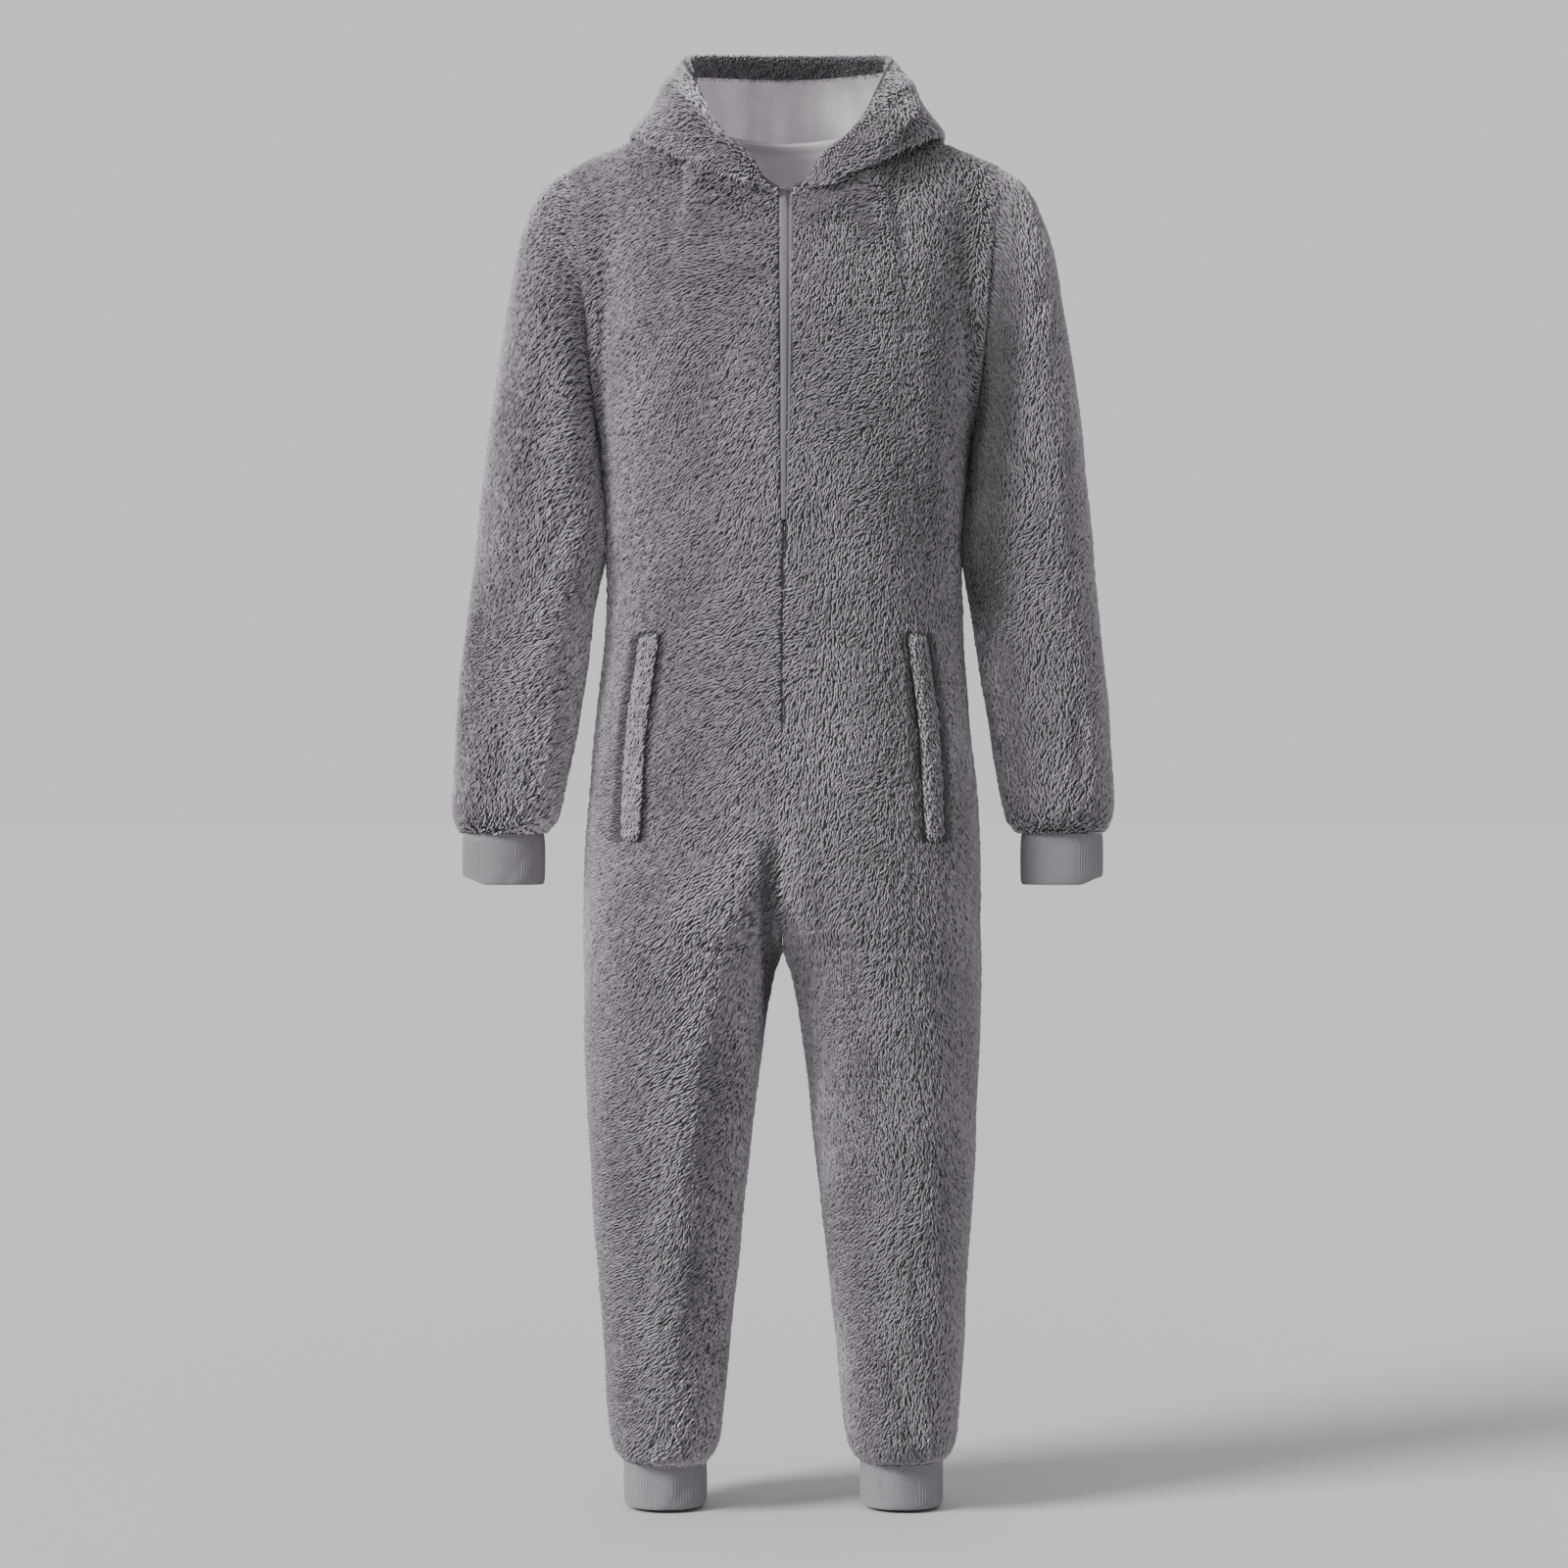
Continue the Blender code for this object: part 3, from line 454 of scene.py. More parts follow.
def spline(stations, place):
    """A Catmull-Rom curve through the stations, at this place counted in stations."""
    before, after = 2 * stations[0] - stations[1], 2 * stations[-1] - stations[-2]
    points = np.stack([before, *stations, after])
    i = np.clip(place.astype(int), 0, len(stations) - 2)
    t = place - i
    p0, p1, p2, p3 = (np.take_along_axis(points, (i + k)[None], 0)[0] for k in range(4))
    return 0.5 * (
        2 * p1 + (p2 - p0) * t + (2 * p0 - 5 * p1 + 4 * p2 - p3) * t**2
        + (3 * p1 - p0 - 3 * p2 + p3) * t**3
    )


def hood_normal(share, rise):
    """The outward direction of the hood."""
    return normal_of(hood_point, share, rise, v_range=(0.0, 1.0))


# ------ folds


def ridge(rows, i, points, run_out, least):
    """How far one fold raises points: its height midway, the share least of it at both ends."""
    fold = {name: column[i] for name, column in rows.items()}
    start = np.array((fold["x1"], fold["z1"]))
    run = np.array((fold["x2"], fold["z2"])) - start
    here = points[..., (0, 2)] - start
    along = np.clip((here @ run) / (run @ run), 0, 1)
    away = np.linalg.norm(here - along[..., None] * run, axis=-1) / fold["half_width"]
    ends = smoothstep(0.0, run_out, along) * smoothstep(1.0, 1 - run_out, along)
    return fold["height"] * (least + (1 - least) * ends) * np.exp(-2.2 * away**2)


def fold_height(side, face, points):
    """How far the folds of one side's front or back raise its cloth, fading towards its edges."""
    raised = np.zeros(points.shape[:-1])
    depth = curve(BODY, "z", FACES[face], points[..., 2])
    for i in np.flatnonzero((FOLDS["side"] == side) & (FOLDS["face"] == face)):
        raised += ridge(FOLDS, i, points, 0.3, 0.6)
    return raised * smoothstep(0.25, 0.6, face * points[..., 1] / depth)


def crease_height(creases, side, points, out):
    """How far the creases of one side raise the cloth, on the face that looks their way."""
    raised = np.zeros(points.shape[:-1])
    for i in np.flatnonzero(creases["side"] == side):
        facing = smoothstep(0.1, 0.55, creases["face"][i] * out[..., 1])
        raised += ridge(creases, i, points, 0.35, 0.45) * facing
    return raised


def swayed(points):
    """The points with each height moved along X."""
    points = points.copy()
    points[..., 0] += curve(SWAY, "z", "shift", points[..., 2])
    return points


# ------ uneven fields

GOLDEN = ((5**0.5 - 1) / 2, 0.7548776662466927, 0.5698402909980532)


def wave_field(seed, size, count=9):
    """A smooth uneven field of plane waves about this long, as a function of points."""
    rng = np.random.default_rng(seed)
    lengths = size * rng.uniform(0.75, 1.35, count)
    turns = unit(rng.normal(size=(count, 3))) * (2 * math.pi / lengths)[:, None]
    phases = rng.uniform(0, 2 * math.pi, count)
    return lambda points: np.sin(points @ turns.T + phases).sum(-1) * math.sqrt(2 / count)


CLUMPS = wave_field(3, 14.0)
SWIRLS = wave_field(5, 210.0)
EDDIES = wave_field(11, 75.0)
PATCHES = wave_field(21, 95.0)
RIPPLES = wave_field(31, 42.0)


# ------ meshes


def placed(name, data):
    """A new object in the scene."""
    made = bpy.data.objects.new(name, data)
    bpy.context.scene.collection.objects.link(made)
    return made


def mesh_object(name, points, faces, look, smooth=True, tones=None):
    """An object from points in millimetres and faces that all have the same number of corners."""
    faces = np.asarray(faces, np.int32)
    mesh = bpy.data.meshes.new(name)
    mesh.vertices.add(len(points))
    mesh.vertices.foreach_set("co", (np.asarray(points) * MM).astype(np.float32).ravel())
    mesh.loops.add(faces.size)
    mesh.loops.foreach_set("vertex_index", faces.ravel())
    mesh.polygons.add(len(faces))
    starts = np.arange(0, faces.size, faces.shape[1], dtype=np.int32)
    mesh.polygons.foreach_set("loop_start", starts)
    mesh.update(calc_edges=True)
    mesh.validate()
    mesh.polygons.foreach_set("use_smooth", np.full(len(mesh.polygons), smooth))
    if tones is not None:
        layer = mesh.color_attributes.new("tone", "FLOAT_COLOR", "POINT")
        grey = np.repeat(np.asarray(tones, np.float32)[:, None], 4, axis=1)
        grey[:, 3] = 1.0
        layer.data.foreach_set("color", grey.ravel())
    mesh.materials.append(look)
    return placed(name, mesh)


def second_look(made, look, where):
    """Gives another look to the faces of an object that are marked."""
    made.data.materials.append(look)
    made.data.polygons.foreach_set("material_index", where.astype(np.int32))


def wall_faces(columns, rows, closed):
    """Quads of a closed wall between two grids of points, the second after the first."""
    under = columns * rows
    along = np.arange(columns if closed else columns - 1)
    i, j = (index.ravel() for index in np.meshgrid(along, np.arange(rows - 1), indexing="ij"))

    def at(a, b):
        return (a % columns) * rows + b

    top = np.stack([at(i, j), at(i + 1, j), at(i + 1, j + 1), at(i, j + 1)], axis=1)
    quads = [top, top[:, ::-1] + under]
    zero, last = np.zeros_like(along), np.full_like(along, rows - 1)
    edges = [(along, zero, along + 1, zero), (along + 1, last, along, last)]
    if not closed:
        up = np.arange(rows - 1)
        zero, last = np.zeros_like(up), np.full_like(up, columns - 1)
        edges += [(zero, up + 1, zero, up), (last, up, last, up + 1)]
    for a, b, c, d in edges:
        first, second = at(a, b), at(c, d)
        quads.append(np.stack([second, first, first + under, second + under], axis=1))
    return np.concatenate(quads)


def add_wall(name, outer, inner, side, look, closed=False, inside=None):
    """A closed wall between two grids of one size, mirrored for the wearer's right."""
    points = swayed(np.concatenate([outer.reshape(-1, 3), inner.reshape(-1, 3)]) * (side, 1, 1))
    faces = wall_faces(*outer.shape[:2], closed)
    a, b, c, d = (points[faces[:, k]] for k in range(4))
    if (np.cross(c - a, d - b) * (a + b + c + d)).sum() < 0:
        faces = faces[:, ::-1]
    made = mesh_object(name, points, faces, look)
    made.data.set_sharp_from_angle(angle=math.radians(50))
    if inside is not None:
        half = (outer.shape[0] if closed else outer.shape[0] - 1) * (outer.shape[1] - 1)
        second_look(made, inside, np.arange(len(faces)) // half == 1)
    return made


def add_ground(name, plain, out, raised, sunk, thick, side, looks, closed=False):
    """Fleece without its pile: a wall whose outer side, given with it, is sunk below its form."""
    outer = plain + (raised - sunk)[..., None] * out
    inner = plain + (raised - thick)[..., None] * out
    made = add_wall(name + "_cloth", outer, inner, side, looks["ground"], closed, looks["lining"])
    return made, outer


def edge_distance(grid, closed=False):
    """How far points of a grid are from its first and last column, then first and last row."""
    across = np.linalg.norm(np.diff(grid, axis=0), axis=-1)
    up = np.linalg.norm(np.diff(grid, axis=1), axis=-1)
    from_left = np.concatenate([np.zeros((1, grid.shape[1])), np.cumsum(across, axis=0)])
    from_below = np.concatenate([np.zeros((grid.shape[0], 1)), np.cumsum(up, axis=1)], axis=1)
    far = np.full(grid.shape[:2], 1e3)
    left = far if closed else from_left
    right = far if closed else from_left[-1] - from_left
    return np.stack([left, right, from_below, from_below[:, -1:] - from_below])


# ------ the pile

# Combed locks: how long, wide and high one is, and the distance from one to the next.
LOCK = {"length": 7.0, "width": 2.5, "height": 3.1, "spacing": 3.0}
HOOD_LOCK = {"length": 6.4, "width": 2.7, "height": 3.0, "spacing": 3.05}
WELT_LOCK = {"length": 5.6, "width": 2.7, "height": 3.4, "spacing": 2.8}
SHORT_LOCK = {"length": 4.8, "width": 2.3, "height": 1.9, "spacing": 2.6}


def on_left(points, out):
    """1 on the side where the pile swirls more and its tone is painted darker, 0 on the side the
    key light comes from, where it is painted lighter.
    """
    return smoothstep(-60.0, 140.0, points[:, 0] * np.where(out[:, 1] < 0.2, 1.0, -1.0))


def nap_angle(points, out):
    """How far the nap is combed away from straight down, by place."""
    swirl, eddy, ripple = SWIRLS(points), EDDIES(points), RIPPLES(points)
    swirling_and_shaded = on_left(points, out)
    past = points[:, 0] - 201.0 - 0.075 * (points[:, 2] + 348.0)  # past the left armhole's seam
    over = np.exp(-((past / 12.0) ** 2)) * (past < 2.0) * smoothstep(0.0, -0.3, out[:, 1])
    over = over * smoothstep(-430.0, -340.0, points[:, 2])
    base = -0.7 + 0.4 * swirling_and_shaded + 1.4 * over
    return base + (0.14 + 0.1 * swirling_and_shaded) * swirl + (0.07 + 0.1 * swirling_and_shaded) * eddy + 0.08 * ripple


def sow(grid, out, spacing, seed, closed=False, hanging=False):
    """Evenly scattered points of a grid of quads, with their outward and downward directions."""
    if closed:
        grid = np.concatenate([grid, grid[:1]])
        out = np.concatenate([out, out[:1]])
    a, b, c, d = grid[:-1, :-1], grid[1:, :-1], grid[1:, 1:], grid[:-1, 1:]
    area = 0.5 * np.linalg.norm(np.cross(c - a, d - b), axis=-1).ravel()
    turn = (np.arange(area.size) * GOLDEN[0]) % 1.0
    count = np.floor(area / spacing**2 + turn).astype(int)
    quad = np.repeat(np.arange(area.size), count)
    k = np.arange(quad.size) + 1000 * seed
    u = ((k * GOLDEN[1]) % 1.0)[:, None]
    v = ((k * GOLDEN[2]) % 1.0)[:, None]
    i, j = np.divmod(quad, grid.shape[1] - 1)

    def mixed(values):
        low = values[i, j] * (1 - u) + values[i + 1, j] * u
        high = values[i, j + 1] * (1 - u) + values[i + 1, j + 1] * u
        return low * (1 - v) + high * v

    down = grid[i, j] - grid[i, j + 1] + grid[i + 1, j] - grid[i + 1, j + 1]
    if hanging:
        down = np.broadcast_to((0.0, 0.0, -1.0), down.shape)
    normal = unit(mixed(out))
    down = unit(down - (down * normal).sum(-1, keepdims=True) * normal)
    return mixed(grid), normal, down


def add_pile(name, grid, out, side, looks, seeds, lock, tone, keep=None, lean=1.0, **sown):
    """Combed locks of pile on a grid, each a pointed tuft that lies over and curls a little.

    The first seed is for where the locks stand, the second for how they differ.
    """
    points, normal, down = sow(grid, out, lock["spacing"], seeds[0], **sown)
    flip = np.array((side, 1, 1))
    points, normal, down = swayed(points * flip), normal * flip, down * flip
    if keep is not None:
        kept = keep(points, normal)
        points, normal, down = points[kept], normal[kept], down[kept]
    chance = np.random.default_rng(seeds[1]).uniform(-1, 1, (6, len(points)))
    swirling_and_shaded = on_left(points, normal)
    angle = lean * nap_angle(points, normal) + (0.2 + 0.25 * swirling_and_shaded) * chance[0]
    across = np.cross(normal, down)
    way = np.cos(angle)[:, None] * down + np.sin(angle)[:, None] * across
    across = np.cross(normal, way)
    high, patch = CLUMPS(points), PATCHES(points)
    length = lock["length"] * (1 + 0.3 * chance[1])
    uneven_height = 1 + (0.36 - 0.16 * swirling_and_shaded) * chance[2] + 0.12 * high
    height = lock["height"] * (0.9 - 0.12 * swirling_and_shaded) * uneven_height
    half = lock["width"] / 2 * (1 + 0.2 * chance[3])
    curl = 0.3 * lock["width"] * chance[4]
    uneven = (0.2 - 0.08 * swirling_and_shaded) * chance[5] + (0.14 - 0.06 * swirling_and_shaded) * chance[2]
    # Painted light: the locks are lighter on the side the key light comes from and on taller
    # clumps, darker in the dips; the rest is tone that differs at random.
    shade = (1.37 - 0.45 * swirling_and_shaded) * (1 + uneven + 0.06 * high + 0.05 * patch)
    shade = shade * tone(points, normal)

    def at(forward, aside, up):
        return points + way * forward[:, None] + across * aside[:, None] + normal * up[:, None]

    none = np.zeros(len(points))
    corners = [
        at(none, -half, none - 0.5),
        at(none, half, none - 0.5),
        at(0.42 * length, 0.4 * curl, 0.9 * height),
        at(length, curl, 0.62 * height),
    ]
    corners = np.stack(corners, axis=1).reshape(-1, 3)
    first = 4 * np.arange(len(points))[:, None, None]
    faces = (first + np.array(((0, 3, 2), (1, 2, 3), (0, 2, 1)))).reshape(-1, 3)
    if side < 0:
        faces = faces[:, ::-1]
    # Painted shade at each lock's root, where the locks shade each other, rising to a lighter tip.
    root = 0.26 + 0.2 * swirling_and_shaded
    tones = shade[:, None] * stacked(root, root, 1.0, 1.2)
    return mesh_object(name + "_pile", corners, faces, looks["pile"], False, tones.ravel())


# ------ materials


def link(look, source, target):
    look.node_tree.links.new(source, target)


def node(look, kind, inputs=(), **values):
    """A node with its inputs linked or set, and its own settings."""
    made = look.node_tree.nodes.new(kind)
    for key, value in values.items():
        setattr(made, key, value)
    for key, value in dict(inputs).items():
        if isinstance(value, bpy.types.NodeSocket):
            link(look, value, made.inputs[key])
        else:
            made.inputs[key].default_value = value
    return made


def field_on(look, kind, stretch=1, detail=3, turn=0.0):
    """A noise of this many repeats a metre, drawn out along Z, a weave, or the place on an axis."""
    place = node(look, "ShaderNodeTexCoord").outputs["Object"]
    if kind in ("X", "Z"):
        return node(look, "ShaderNodeSeparateXYZ", {0: place}).outputs[kind]
    if kind == "weave":
        wave = {"Scale": 420, "Distortion": 1.5, "Vector": place}
        return node(look, "ShaderNodeTexWave", wave, bands_direction="Z").outputs["Fac"]
    mapping = {"Vector": place, "Scale": (1, 1, stretch), "Rotation": (0.0, turn, 0.0)}
    place = node(look, "ShaderNodeMapping", mapping).outputs["Vector"]
    noise = {"Scale": kind, "Detail": detail, "Vector": place}
    return node(look, "ShaderNodeTexNoise", noise).outputs["Fac"]


def blended(look, colour, field, low, high, span=(0.3, 0.7)):
    """The colour times a grey that runs from low to high as the field runs over the span."""
    ramp = {"Value": field_on(look, *field), "From Min": span[0], "From Max": span[1]}
    ramp = node(look, "ShaderNodeMapRange", {**ramp, "To Min": low, "To Max": high})
    scale = {0: colour, "Scale": ramp.outputs["Result"]}
    return node(look, "ShaderNodeVectorMath", scale, operation="SCALE").outputs["Vector"]


def new_material(name, colour, roughness, sheen=0.0, metallic=0.0):
    made = bpy.data.materials.new(name)
    made.use_nodes = True
    inputs = made.node_tree.nodes["Principled BSDF"].inputs
    inputs["Base Color"].default_value = (*colour, 1.0)
    inputs["Roughness"].default_value = roughness
    inputs["Metallic"].default_value = metallic
    inputs["Sheen Weight"].default_value = sheen
    inputs["Sheen Roughness"].default_value = 0.45
    inputs["Specular IOR Level"].default_value = 0.25
    return made


GREY = (0.335, 0.308, 0.34)
# The knit ground under the pile is painted dark, as the shade between the locks.
GROUND_GREY = tuple(0.15 * value for value in GREY)
LINING_GREY = (0.8, 0.755, 0.805)
# NECK_GREY is painted light: paler than the lining, against the shade deep inside the neck.
NECK_GREY = (0.96, 0.885, 0.965)
RIB_GREY = (0.2, 0.185, 0.204)
TAPE_GREY = (0.15, 0.138, 0.153)
SLIDER_GREY = (0.3, 0.29, 0.3)

# Each look: its name, colour, roughness, sheen and metal, then its relief as a field, a depth in
# metres and a strength, then the greys that its colour is blended with.
LOOKS = {
    "pile": ("fleece pile", GREY, 0.92, 0.25, 0, (2600, 0.25, 3, 0.5), 0.0004, 0.5,
             ((900, 0.35), 0.88, 1.12)),
    "ground": ("fleece ground", GROUND_GREY, 0.95, 0.1, 0, (1500,), 0.0006, 0.6,
               ((700,), 0.8, 1.2)),
    # The lining is painted lighter towards the wearer's right and darker towards the wearer's left,
    # where the key light falls in: painted light and shade.
    "lining": ("brushed lining", LINING_GREY, 0.88, 0.2, 0, (900, 0.3), 0.0004, 0.5,
               ((30, 0.2, 4), 0.78, 1.1), ((420, 0.3), 0.95, 1.05),
               (("X",), 1.12, 0.66, (-0.06, 0.1))),
    # The neck facing is painted darker up over the neck seam's ridge, where the key light catches
    # it: painted shade.
    "neck": ("neck facing", NECK_GREY, 0.88, 0.2, 0, (1400, 0.4), 0.0002, 0.35,
             ((26, 0.16, 2), 0.9, 1.06), (("Z",), 1.0, 0.56, (0.018, 0.032)),
             (("Z",), 1.0, 0.55, (0.036, 0.042))),
    "rib": ("rib knit", RIB_GREY, 0.9, 0.2, 0, (1100, 0.5), 0.0006, 0.6,
            ((900, 0.6), 0.85, 1.15)),
    "tape": ("woven zip tape", TAPE_GREY, 0.8, 0.1, 0, ("weave",), 0.0001, 0.4,
             ((160, 0.2), 0.94, 1.06)),
    "slider": ("painted slider", SLIDER_GREY, 0.42, 0, 0.3, (300,), 0.00005, 0.3),
}


def make_look(name, colour, roughness, sheen, metallic, relief, depth, strength, *greys):
    look = new_material(name, colour, roughness, sheen, metallic)
    shader = look.node_tree.nodes["Principled BSDF"]
    # The tone of each lock holds painted light and shade as well as its own random unevenness.
    if name == "fleece pile":  # times the tone of each lock
        tone = node(look, "ShaderNodeVertexColor", layer_name="tone").outputs["Color"]
        both = {0: tone, 1: colour}
        colour = node(look, "ShaderNodeVectorMath", both, operation="MULTIPLY").outputs["Vector"]
    for grey in greys:
        colour = blended(look, colour, *grey)
    if greys:
        link(look, colour, shader.inputs["Base Color"])
    bump = {"Strength": strength, "Distance": depth, "Height": field_on(look, *relief)}
    link(look, node(look, "ShaderNodeBump", bump).outputs["Normal"], shader.inputs["Normal"])
    return look


# ------ the body's panels

PANEL_SHARES = np.array((0.0, 0.012, 0.035, *np.linspace(0.07, 0.93, 24), 0.965, 0.988, 1.0))
SEAM_END_Z = -620.0  # below it the pile closes over the seam down the middle of the front

# Creases that are finer than the folds, in the same terms.
CREASES = table(FOLD_COLUMNS, """
-1 -1 24 -50 84 -18 19 8
-1 -1 72 -24 160 14 18 8
1 -1 24 -66 64 -50 16 6
1 -1 64 -50 92 -26 16 5
1 -1 92 -26 162 0 16 5
-1 -1 7 -660 9 -760 9 -3.5
-1 -1 12 -760 16 -900 20 -9
1 -1 14 -730 20 -800 12 4
-1 -1 30 -700 42 -735 12 -2.5
-1 -1 52 -905 84 -1010 13 -3
-1 -1 128 -960 152 -1060 18 -3
-1 -1 96 -1130 122 -1330 14 2.5
-1 -1 118 -1370 150 -1405 12 -3
-1 -1 168 -1250 172 -1360 14 2.5
1 -1 118 -880 160 -960 20 -3
1 -1 60 -900 74 -1000 14 2.5
1 -1 66 -1090 92 -1180 14 -3
1 -1 140 -1180 160 -1290 18 -3
1 -1 76 -1370 96 -1405 12 -3
-1 -1 60 -330 130 -380 22 -2.5
-1 -1 40 -470 110 -520 24 2.5
1 -1 30 -180 80 -230 24 -2.5
1 -1 50 -400 120 -440 22 -3
1 -1 110 -60 180 -130 22 -2.5
-1 -1 100 -70 170 -120 24 2
1 1 50 -250 140 -330 24 -3
-1 1 60 -480 150 -540 24 3
1 1 40 -520 150 -560 26 3
-1 1 50 -640 110 -700 24 -3
1 1 60 -960 140 -990 20 3
-1 1 70 -1000 150 -1030 20 3
1 1 90 -1230 160 -1260 20 -3
-1 1 90 -1220 150 -1240 18 3
1 1 100 -1350 160 -1385 14 -3
""")

# How far a sleeve bears out towards the body beside it.
BESIDE = table("z out", """
-500 0
-455 2
-420 7
-330 6.5
-250 4
-150 3
-80 0
""")

# Folds and creases of the sleeves.
SLEEVE_CREASES = table(FOLD_COLUMNS, """
-1 -1 262 -240 270 -345 18 -4
-1 -1 296 -290 308 -420 18 3
-1 -1 230 -370 262 -470 14 -3
-1 -1 270 -520 320 -560 16 -3
-1 -1 250 -600 262 -690 13 3
-1 -1 300 -610 310 -700 14 -3.5
-1 -1 335 -640 338 -705 12 3
1 -1 258 -180 292 -145 15 -4
1 -1 236 -250 262 -320 15 -3
1 -1 290 -300 300 -430 18 3
1 -1 250 -480 310 -530 16 -3
1 -1 266 -600 272 -700 13 3
1 -1 318 -600 322 -690 14 -3.5
-1 1 260 -220 300 -300 18 -3.5
1 1 262 -240 306 -320 18 -3.5
-1 1 262 -430 320 -470 16 3
1 1 258 -440 324 -470 16 3
-1 1 280 -590 300 -690 14 -3
1 1 290 -580 306 -690 14 -3
""")


def softness(side, points):
    """The slow unevenness of thick soft cloth."""
    return 0.7 * PATCHES(points * (side, 1, 1))


ANKLE_ROWS = (ANKLE_Z, -1421.5, -1419.0, -1415.0, -1409.0, -1401.0)


def fine_panel_rows():
    """Rows of a panel from the ankle seam to its top edge, closer together at both."""
    low = np.concatenate([ANKLE_ROWS, np.linspace(-1392, -302, 91)])
    low = (low - CHEST_Z) / CHEST_SPAN
    return np.concatenate([low[:-1], np.linspace(0, 0.97, 31), (0.988, 1.0)])


def seam_dip(distances, depths, width=5.0):
    """How far a wall is drawn in along the seams at its four edges."""
    dips = [depth * np.exp(-((away / width) ** 2)) for away, depth in zip(distances, depths)]
    return np.maximum.reduce(dips)


def welt_distance(points):
    """How far a point of the front is from the middle line of its side's welt."""
    x = np.abs(points[..., 0] - curve(SWAY, "z", "shift", points[..., 2]))
    z = points[..., 2]
    beyond = np.maximum(np.maximum(z - WELT["z"].max(), WELT["z"].min() - z), 0)
    away = x - curve(WELT, "z", "x", points[..., 2])
    return away, beyond


def add_panel(name, side, face, looks):
    """A front or back: its ground, and its pile up to the seams, the welt and the zip."""
    shares, rows = PANEL_SHARES, fine_panel_rows()
    u, v = np.meshgrid(shares, rows, indexing="ij")
    plain, out = body_point(face, u, v), panel_out(face, shares, rows)
    raised = fold_height(side, face, plain) + crease_height(CREASES, side, plain, out)
    raised += softness(side, plain)
    distances = edge_distance(plain)
    sunk = PILE * smoothstep(-1.0, 7.0, distances[2]) + seam_dip(distances, (1.1, 1.1, 0.0, 1.1))
    if face < 0:
        away, beyond = welt_distance(swayed(plain * (side, 1, 1)))
        sunk += 1.3 * np.exp(-(((np.abs(away) - WELT_WIDTH / 2 - 2.5) / 3.0) ** 2)) * (beyond < 3.0)
    sunk *= 1 - 0.85 * np.exp(-(((plain[..., 2] + 866) / 13) ** 2) - (plain[..., 0] / 16) ** 2)
    neck = np.where((shares < NECK_SHARE)[:, None], pressed(distances[3]), 1.0)
    raised *= smoothstep(0.0, 20.0, distances[3])
    ground, outer = add_ground(name, plain, out, raised, sunk * neck, FLEECE * neck, side, looks)

    def keep(points, normal):
        z = points[:, 2]
        x = points[:, 0] - curve(SWAY, "z", "shift", z)
        if face > 0:
            return np.abs(x) > 0.6
        away, beyond = welt_distance(points)
        clear = np.abs(away) > WELT_WIDTH / 2 + 3.5
        seam = (z < ZIP_END_Z + 4) & (z > SEAM_END_Z) & (x > -1.6) & (x < 3.8)
        return (clear | (beyond > 3.0)) & ~seam

    def tone(points, normal):
        x, z = points[:, 0], points[:, 2]
        # Painted shade: on the side painted lighter by the key light, the legs grow darker towards
        # the ankles, where less of it falls.
        shade = 1 - 0.19 * smoothstep(-800.0, -1100.0, z) * (1 - on_left(points, normal))
        if face > 0:
            return shade
        if side < 0:  # the dark hollow where the legs meet
            # Painted shade in the hollow where the legs meet.
            within = smoothstep(-715.0, -765.0, z) * smoothstep(-1010.0, -940.0, z)
            shade -= 0.6 * within * smoothstep(-29.0, -23.0, x) * smoothstep(2.0, -14.0, x)
        # Painted shade in the grooves beside the welt.
        away, beyond = welt_distance(points)
        beside = smoothstep(WELT_WIDTH / 2 + 12.5, WELT_WIDTH / 2 + 6.5, np.abs(away))
        return np.maximum(shade - 0.86 * beside * smoothstep(5.0, -4.0, beyond), 0.14)

    seeds = 3 + face, 40 + face + 5 * side
    return ground, add_pile(name, outer, out, side, looks, seeds, LOCK, tone, keep, hanging=True)


# ------ the sleeves

SLEEVE_TURNS = np.arange(44) / 44
SLEEVE_STEPS = (3, 3, 5, 7, 7, 8, 8, 9, 7, 4, 3, 2, 2)


def fine_rings():
    steps = [np.linspace(i, i + 1, n, endpoint=False) for i, n in enumerate(SLEEVE_STEPS)]
    return np.concatenate(steps + [[len(SLEEVE_STEPS)]]) / len(SLEEVE_STEPS)


